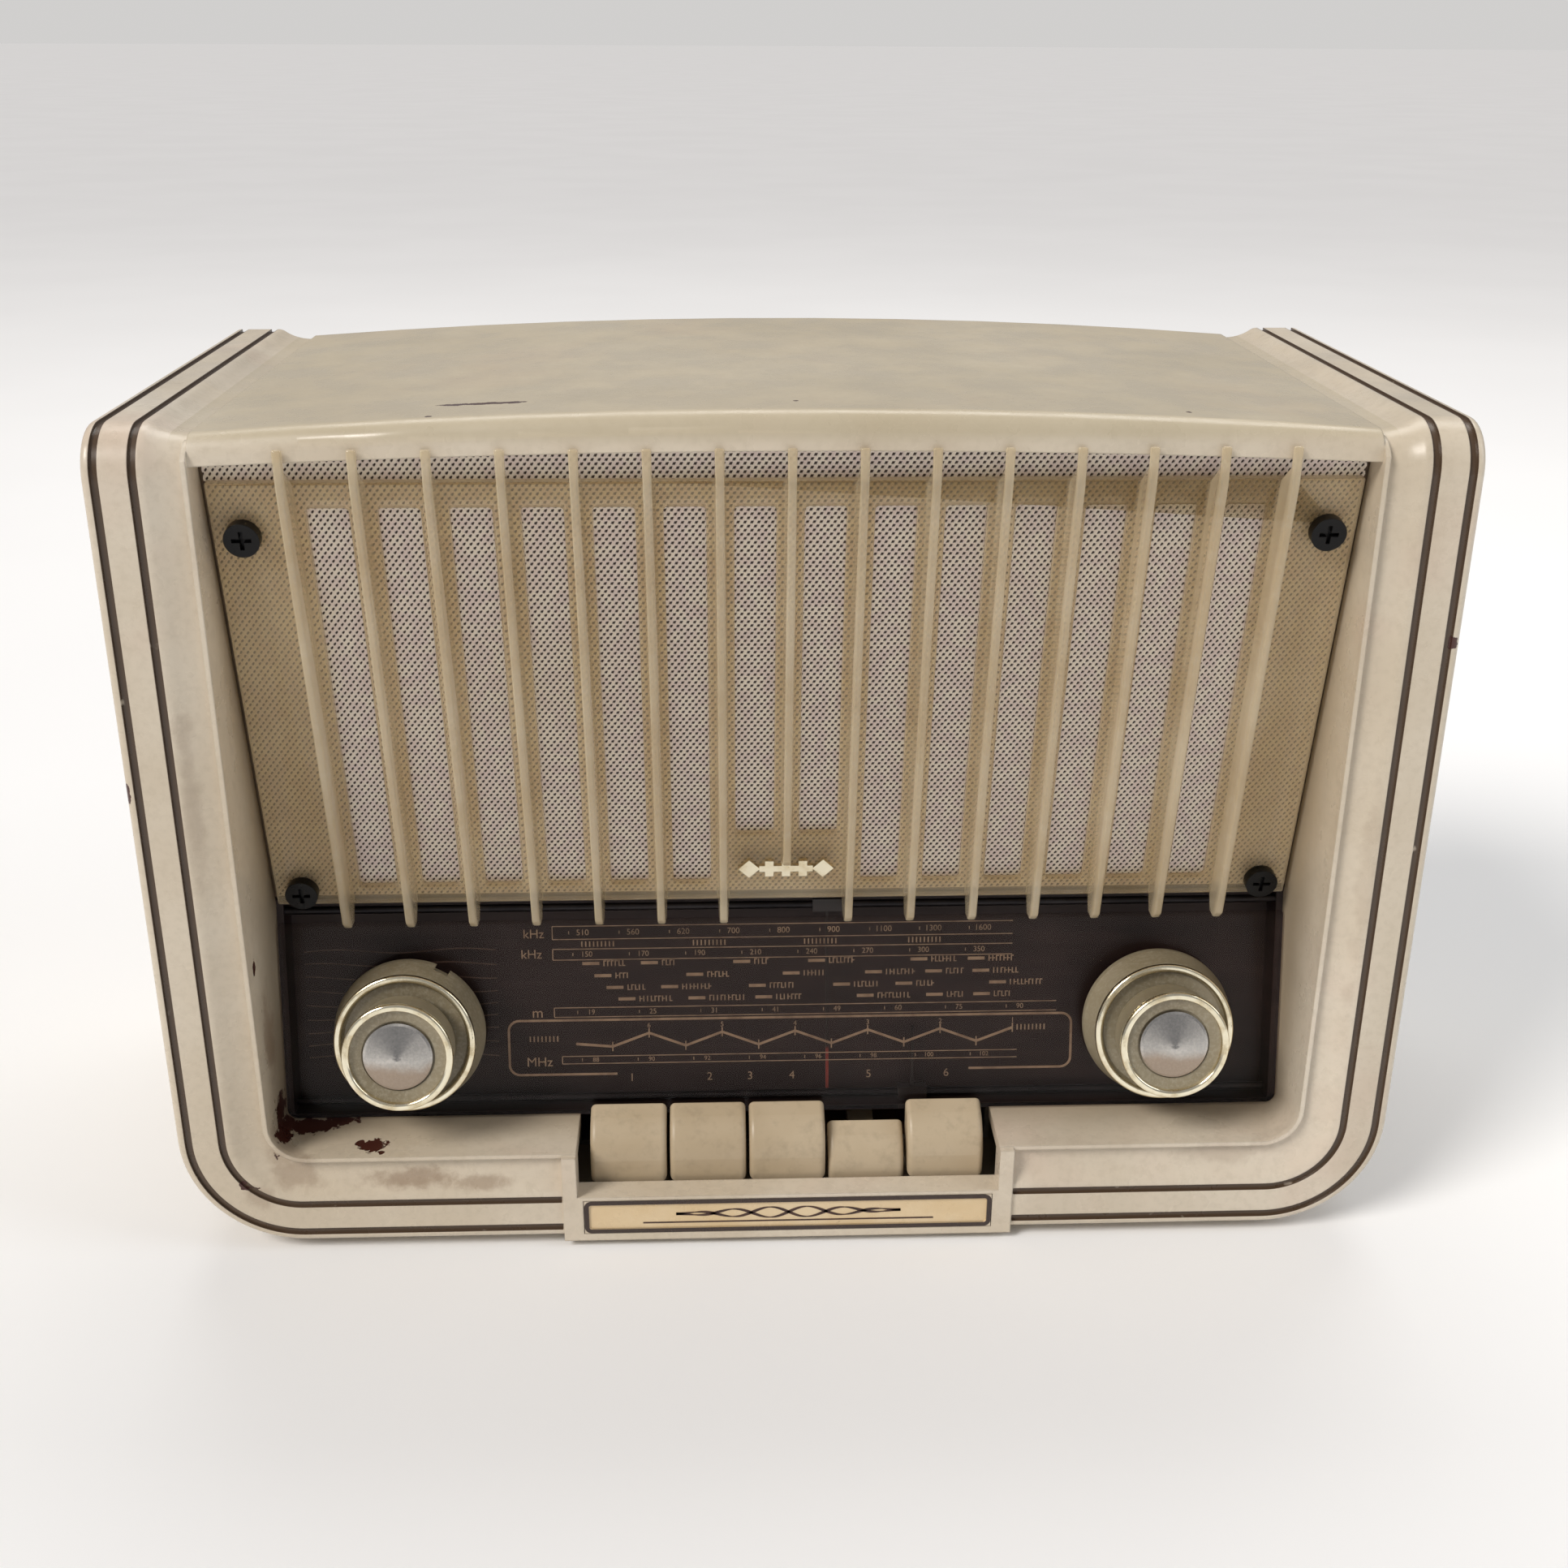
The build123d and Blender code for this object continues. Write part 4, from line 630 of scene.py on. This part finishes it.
coat(bulb_glass("valve_glass", (0.55, 0.58, 0.60)), "valves")
coat(bulb_glass("lamp_glass", (0.80, 0.72, 0.50)), "dial_lamps")


# ---------------------------------------------------------------- pieces
def add_piece(name, points, faces, material, body=case_body, smooth=False):
    """A new mesh piece that rides on a body."""
    mesh = bpy.data.meshes.new(name)
    mesh.from_pydata([tuple(p) for p in points], [], faces)
    mesh.update()
    if smooth:
        mesh.polygons.foreach_set("use_smooth", [True] * len(mesh.polygons))
    piece = bpy.data.objects.new(name, mesh)
    scene.collection.objects.link(piece)
    mesh.materials.append(material)
    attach(piece, body)
    return piece


def make_cloth():
    """The speaker cloth: a stretched sheet whose surface carries the staggered weave."""
    half = 152.6 * mm
    low, high = 0.6 * mm, 142.8 * mm
    columns = int(2 * half / (weave_x / 4)) + 1
    rows = int((high - low) / (weave_rise / 4)) + 1
    across = np.linspace(-half, half, columns)
    up = np.linspace(low, high, rows)
    wide, tall = np.meshgrid(across, up)
    relief = 0.5 + 0.5 * np.cos(2 * np.pi * wide / weave_x) * np.cos(2 * np.pi * tall / weave_rise)
    out = (-4.2 + 0.75 * relief) * mm
    origin = np.array(grille_point(0, 0, 0))
    rise_way = np.array(grille_point(0, 1, 0)) - origin
    out_way = np.array(grille_point(0, 0, 1)) - origin
    points = origin + tall[..., None] * rise_way + out[..., None] * out_way
    points[..., 0] = wide
    index = np.arange(rows * columns).reshape(rows, columns)
    faces = np.stack([index[:-1, :-1], index[:-1, 1:], index[1:, 1:], index[1:, :-1]], axis=-1).reshape(-1, 4)
    places = points.reshape(-1, 3)
    cloth = add_piece("woven_speaker_cloth", places, faces.tolist(), woven_cloth(), smooth=True)
    weave = cloth.data.attributes.new("weave", "FLOAT", "POINT")
    weave.data.foreach_set("value", relief.reshape(-1).astype(np.float32))
    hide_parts("speaker_cloth")
    return cloth


class Strokes:
    """Flat printed strokes on the back of the dial glass, in millimetres across and up the glass."""

    def __init__(self, out=-3.2):
        self.out = out * mm
        self.points = []
        self.faces = []

    def quad(self, corners):
        start = len(self.points)
        self.points += [dial_point(x * mm, rise * mm, self.out) for x, rise in corners]
        self.faces.append(tuple(range(start, start + len(corners))))

    def bar(self, x0, x1, rise, height):
        low, high = rise - height / 2, rise + height / 2
        self.quad([(x0, low), (x1, low), (x1, high), (x0, high)])

    def tick(self, x, low, high, width=0.3):
        self.quad([(x - width / 2, low), (x + width / 2, low), (x + width / 2, high), (x - width / 2, high)])

    def line(self, places, width):
        """A polyline of even width."""
        sides = []
        for i, (x, rise) in enumerate(places):
            before = places[max(i - 1, 0)]
            after = places[min(i + 1, len(places) - 1)]
            run = math.hypot(after[0] - before[0], after[1] - before[1])
            step_x = -(after[1] - before[1]) / run * width / 2
            step_rise = (after[0] - before[0]) / run * width / 2
            sides.append(((x - step_x, rise - step_rise), (x + step_x, rise + step_rise)))
        for (low, high), (low_next, high_next) in zip(sides, sides[1:]):
            self.quad([low, low_next, high_next, high])

    def word(self, x, rise, size, text):
        """Digits or unit letters from the built-in plain font, turned to faces."""
        curve = bpy.data.curves.new("word", "FONT")
        curve.body = text
        curve.size = size
        curve.align_x = "CENTER"
        curve.align_y = "CENTER"
        holder = bpy.data.objects.new("word", curve)
        scene.collection.objects.link(holder)
        bpy.context.view_layer.update()
        mesh = bpy.data.meshes.new_from_object(holder)
        start = len(self.points)
        self.points += [dial_point((x + v.co.x) * mm, (rise + v.co.y) * mm, self.out) for v in mesh.vertices]
        self.faces += [tuple(start + i for i in polygon.vertices) for polygon in mesh.polygons]
        bpy.data.objects.remove(holder)
        bpy.data.curves.remove(curve)
        bpy.data.meshes.remove(mesh)

    def piece(self, name, material):
        return add_piece(name, self.points, self.faces, material)


def scale_band(ink, low, high, start, end, numbers, size):
    """Two rules with numbers between them and small ticks."""
    for rise in (low, high):
        ink.bar(start, end, rise, 0.28)
    ink.tick(start, low, high, 0.28)
    for i, number in enumerate(numbers):
        x = start + (end - start) * (i + 0.6) / (len(numbers) + 0.2)
        ink.word(x, (low + high) / 2, size, number)
        ink.tick(x - 4.2, (low + high) / 2 - 0.5, (low + high) / 2 + 0.5, 0.25)


def make_print():
    ink = Strokes()
    ink.word(-76.6, 56.6, 4.0, "kHz")
    ink.word(-77.4, 50.2, 4.0, "kHz")
    ink.word(-76.0, 31.6, 4.6, "m")
    ink.word(-75.8, 15.8, 4.2, "MHz")
    medium_wave = ("510", "560", "620", "700", "800", "900", "1100", "1300", "1600")
    scale_band(ink, 54.9, 59.0, -70.9, 70, medium_wave, 2.6)
    scale_band(ink, 48.4, 51.8, -70.9, 70, ("150", "170", "190", "210", "240", "270", "300", "350"), 2.4)
    scale_band(ink, 30.2, 33.2, -70.9, 84, ("19", "25", "31", "41", "49", "60", "75", "90"), 2.3)
    scale_band(ink, 15.2, 17.6, -68.8, 72, ("88", "90", "92", "94", "96", "98", "100", "102"), 2.0)
    # station marks: a bright dash with a softer bar beside it, in staggered rows
    picks = random.Random(7)
    soft = Strokes()
    for row, rise in enumerate((47.2, 43.3, 39.5, 35.8)):
        x = -62 + 3.6 * row
        while x < 66:
            ink.bar(x, x + 5.2, rise, 1.0)
            length = picks.uniform(5, 12)
            letters = int(length / 1.15)
            for k in range(letters):
                left = x + 6.6 + 1.15 * k
                soft.tick(left, rise - 0.9, rise + 0.9, 0.35)
                if picks.random() < 0.7:
                    soft.bar(left, left + 0.75, rise + picks.choice((-0.75, 0.0, 0.75)), 0.3)
            x += 6.6 + length + picks.choice((2.0, 4.0, 11.0, 16.0))
    for x in (-62, -28, 6, 38):
        for k in range(9):
            soft.tick(x + 1.2 * k, 52.5, 54.2, 0.4)
    # rounded outline round the lower scale, open at the foot
    corner = 3.2
    left, right, low, high = -85.0, 88.8, 11.8, 29.2

    def arc(cx, cr, start):
        return [
            (cx + corner * math.cos(math.radians(start + a)), cr + corner * math.sin(math.radians(start + a)))
            for a in range(0, 91, 15)
        ]

    outline = [(-52, low)]
    outline += arc(left + corner, low + corner, 180)[::-1]
    outline += arc(left + corner, high - corner, 90)[::-1]
    outline += arc(right - corner, high - corner, 0)[::-1]
    outline += arc(right - corner, low + corner, 270)[::-1]
    outline.append((57, low))
    ink.line(outline, 0.75)
    # zigzag line of the short wave scale, with a tick at each turn
    turns = [(-64.5 + 11.25 * k, 20.6 if k % 2 else 24.8) for k in range(13)]
    turns[0] = (-64.5, 21.6)
    ink.line(turns, 0.85)
    for k, (x, rise) in enumerate(turns[1:], 1):
        ink.tick(x, rise - 1.5, rise + 1.5, 0.4)
        if k % 2 == 0:
            ink.word(x, 27.2, 2.2, str(7 - k // 2))
    for k in range(8):
        soft.tick(-78.5 + 1.2 * k, 22.4, 24.2, 0.4)
        soft.tick(72 + 1.2 * k, 24.0, 25.8, 0.4)
    for x, text in ((-47.5, "1"), (-23.5, "2"), (-11, "3"), (2, "4"), (25.8, "5"), (50, "6")):
        ink.word(x, 10.4, 3.6, text)
    ink.piece("dial_print", printed_ink())
    soft.piece("dial_station_marks", printed_ink())
    ripples = Strokes()
    for row in range(9):
        rise = 52 - 4.2 * row
        ripple = [(-146 + 2 * k, rise + 0.6 * math.sin(0.33 * k + row * 0.8)) for k in range(30)]
        ripples.line(ripple, 0.35)
    ripples.piece("dial_ripples", faint_ink())


def softened(node, name, material, width, reshape=None, segments=2, sharp_angle=35):
    """A copy of a CAD node with its sharp edges rounded, which stands for it."""
    form = bmesh.new()
    form.from_mesh(nodes[node].data)
    bmesh.ops.remove_doubles(form, verts=form.verts, dist=0.002 * mm)
    flat = math.radians(1)
    bmesh.ops.dissolve_limit(form, angle_limit=flat, verts=form.verts, edges=form.edges)
    if reshape:
        for vertex in form.verts:
            vertex.co = reshape(vertex.co)
    limit = math.radians(sharp_angle)
    sharp = [edge for edge in form.edges if len(edge.link_faces) == 2 and edge.calc_face_angle(0) > limit]
    bmesh.ops.bevel(form, geom=sharp, offset=width, offset_type="OFFSET", segments=segments, profile=0.5,
                    affect="EDGES", clamp_overlap=False, harden_normals=False)
    for face in form.faces:
        face.smooth = True
    mesh = bpy.data.meshes.new(name)
    form.to_mesh(mesh)
    form.free()
    mesh.set_sharp_from_angle(angle=math.radians(32))
    piece = bpy.data.objects.new(name, mesh)
    scene.collection.objects.link(piece)
    mesh.materials.append(material)
    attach(piece, nodes[node]["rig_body"])
    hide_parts(node)
    return piece


fin_pitch = 18.65 * mm
fin_depth = 8.2 * mm


def taper_fins(point):
    """Narrows each fin from its root to its front edge."""
    start = grille_point(0, 0)
    out_way = grille_point(0, 0, 1) - start
    out = (point - start).dot(out_way)
    centre = round(point.x / fin_pitch) * fin_pitch
    if out < 0.5 * mm or abs(point.x - centre) > 2 * mm:
        return point
    share = 1 - 0.38 * min(out / fin_depth, 1)
    return Vector((centre + (point.x - centre) * share, point.y, point.z))


def make_grille():
    grille = softened("grille", "amber_grille", amber_plastic(), 0.5 * mm, taper_fins)


def make_badge_ornament():
    """A flourish of crossing waves with a bar under it, in place of lettering."""
    ink = Graph("badge_ink")
    worn = ink.step(ink.noise(300, 3, 0.6), 0.3, 0.7)
    colour = ink.mix(worn, (0.035, 0.014, 0.010), (0.07, 0.03, 0.02))
    material = ink.finish(ink.principled(Base_Color=colour, Roughness=0.35))
    face_y = front_y - badge_proud + 0.5 * mm
    front, back = face_y - 0.12 * mm, face_y + 0.05 * mm
    points, faces = [], []

    def ribbon(places, widths):
        """A raised stroke along a run of points, thick and thin like a pen's."""
        start = len(points)
        for i, (x, up) in enumerate(places):
            before, after = places[max(i - 1, 0)], places[min(i + 1, len(places) - 1)]
            run = math.hypot(after[0] - before[0], after[1] - before[1]) or 1
            nx, nu = -(after[1] - before[1]) / run, (after[0] - before[0]) / run
            w = widths[i] / 2
            for side in (-1, 1):
                for y in (front, back):
                    points.append(((x + side * nx * w) * mm, y, badge_mid_z + (up + side * nu * w) * mm))
        for i in range(len(places) - 1):
            a, b = start + 4 * i, start + 4 * (i + 1)
            faces.extend([(a, b, b + 2, a + 2), (a + 1, a + 3, b + 3, b + 1), (a, a + 1, b + 1, b),
                          (a + 2, b + 2, b + 3, a + 3)])
        end = start + 4 * (len(places) - 1)
        faces.extend([(start, start + 2, start + 3, start + 1), (end, end + 1, end + 3, end + 2)])

    steps = 160
    for phase in (0, math.pi):
        run = [(-34 + 68 * i / steps, 0.5 + 1.9 * math.sin(6 * math.pi * i / steps + phase)
                * math.sin(math.pi * i / steps)) for i in range(steps + 1)]
        widths = [0.25 + 0.65 * abs(math.cos(6 * math.pi * i / steps + phase)) for i in range(steps + 1)]
        ribbon(run, widths)
    ribbon([(-44 + 88 * i / 20, -2.5) for i in range(21)], [0.45] * 21)
    add_piece("badge_flourish", points, faces, material)


make_cloth()
make_print()
make_grille()
make_badge_ornament()


# ---------------------------------------------------------------- floor, light and camera
def make_floor():
    """Pale floor that runs out to the horizon on every side."""
    spread, corners = 60.0, 48
    rim = [
        (spread * math.cos(2 * math.pi * k / corners), spread * math.sin(2 * math.pi * k / corners), 0.0)
        for k in range(corners)
    ]
    mesh = bpy.data.meshes.new("floor")
    mesh.from_pydata(rim, [], [tuple(range(corners))])
    stage = bpy.data.objects.new("floor", mesh)
    scene.collection.objects.link(stage)
    graph = Graph("pale_floor")
    colour = graph.mix(graph.step(graph.noise(3, 2), 0.3, 0.7), (0.92, 0.92, 0.92), (0.94, 0.94, 0.94))
    mesh.materials.append(graph.finish(graph.principled(Base_Color=colour, Roughness=0.85)))


def add_light(name, place, aim, size, power, colour):
    data = bpy.data.lights.new(name, "AREA")
    data.shape = "RECTANGLE"
    data.size, data.size_y = size
    data.energy = power
    data.color = colour
    lamp = bpy.data.objects.new(name, data)
    lamp.location = place
    lamp.visible_camera = False
    lamp.rotation_euler = (Vector(aim) - Vector(place)).to_track_quat("-Z", "Y").to_euler()
    scene.collection.objects.link(lamp)


def add_window_light(towards):
    """Broad even daylight from one direction."""
    data = bpy.data.lights.new("window", "SUN")
    data.energy = 2.05
    data.angle = math.radians(22)
    data.color = (1.0, 0.955, 0.905)
    lamp = bpy.data.objects.new("window", data)
    lamp.rotation_euler = Vector(towards).to_track_quat("Z", "Y").to_euler()
    scene.collection.objects.link(lamp)


def make_world():
    """Soft light from all round; the sky itself shows in the floor's far shade, so no horizon stands out."""
    world = bpy.data.worlds.new("studio")
    world.use_nodes = True
    tree = world.node_tree
    sky = tree.nodes["Background"]
    sky.inputs["Color"].default_value = (0.97, 0.97, 1.0, 1)
    sky.inputs["Strength"].default_value = 0.32
    pale_wall = tree.nodes.new("ShaderNodeBackground")
    pale_wall.inputs["Color"].default_value = (0.635, 0.625, 0.615, 1)
    seen = tree.nodes.new("ShaderNodeLightPath")
    both = tree.nodes.new("ShaderNodeMixShader")
    tree.links.new(seen.outputs["Is Camera Ray"], both.inputs[0])
    tree.links.new(sky.outputs[0], both.inputs[1])
    tree.links.new(pale_wall.outputs[0], both.inputs[2])
    tree.links.new(both.outputs[0], tree.nodes["World Output"].inputs["Surface"])
    scene.world = world


def make_camera():
    yaw, pitch, roll = math.radians(-2.24), math.radians(22.51), math.radians(0.25)
    ahead = Vector((-math.sin(yaw) * math.cos(pitch), math.cos(yaw) * math.cos(pitch), -math.sin(pitch)))
    level = Vector((math.cos(yaw), math.sin(yaw), 0))
    over = level.cross(ahead)
    right = math.cos(roll) * level + math.sin(roll) * over
    up = -math.sin(roll) * level + math.cos(roll) * over
    data = bpy.data.cameras.new("camera")
    data.sensor_width = 36
    data.lens = 41.55
    camera = bpy.data.objects.new("camera", data)
    turn = Matrix((right, up, -ahead)).transposed().to_4x4()
    camera.matrix_world = Matrix.Translation((-0.0198, -0.5474, 0.3407)) @ turn
    scene.collection.objects.link(camera)
    scene.camera = camera


make_floor()
centre = (0, 0, 0.12)
add_window_light((-1.3, -1.0, 1.48))
add_light("side", (1.6, -0.5, 1.1), centre, (0.8, 1.2), 7, (0.92, 0.96, 1.0))
add_light("top", (0.1, 0.9, 1.9), centre, (1.8, 0.8), 15, (1.0, 0.98, 0.94))
make_world()
make_camera()
scene.view_settings.view_transform = "Standard"
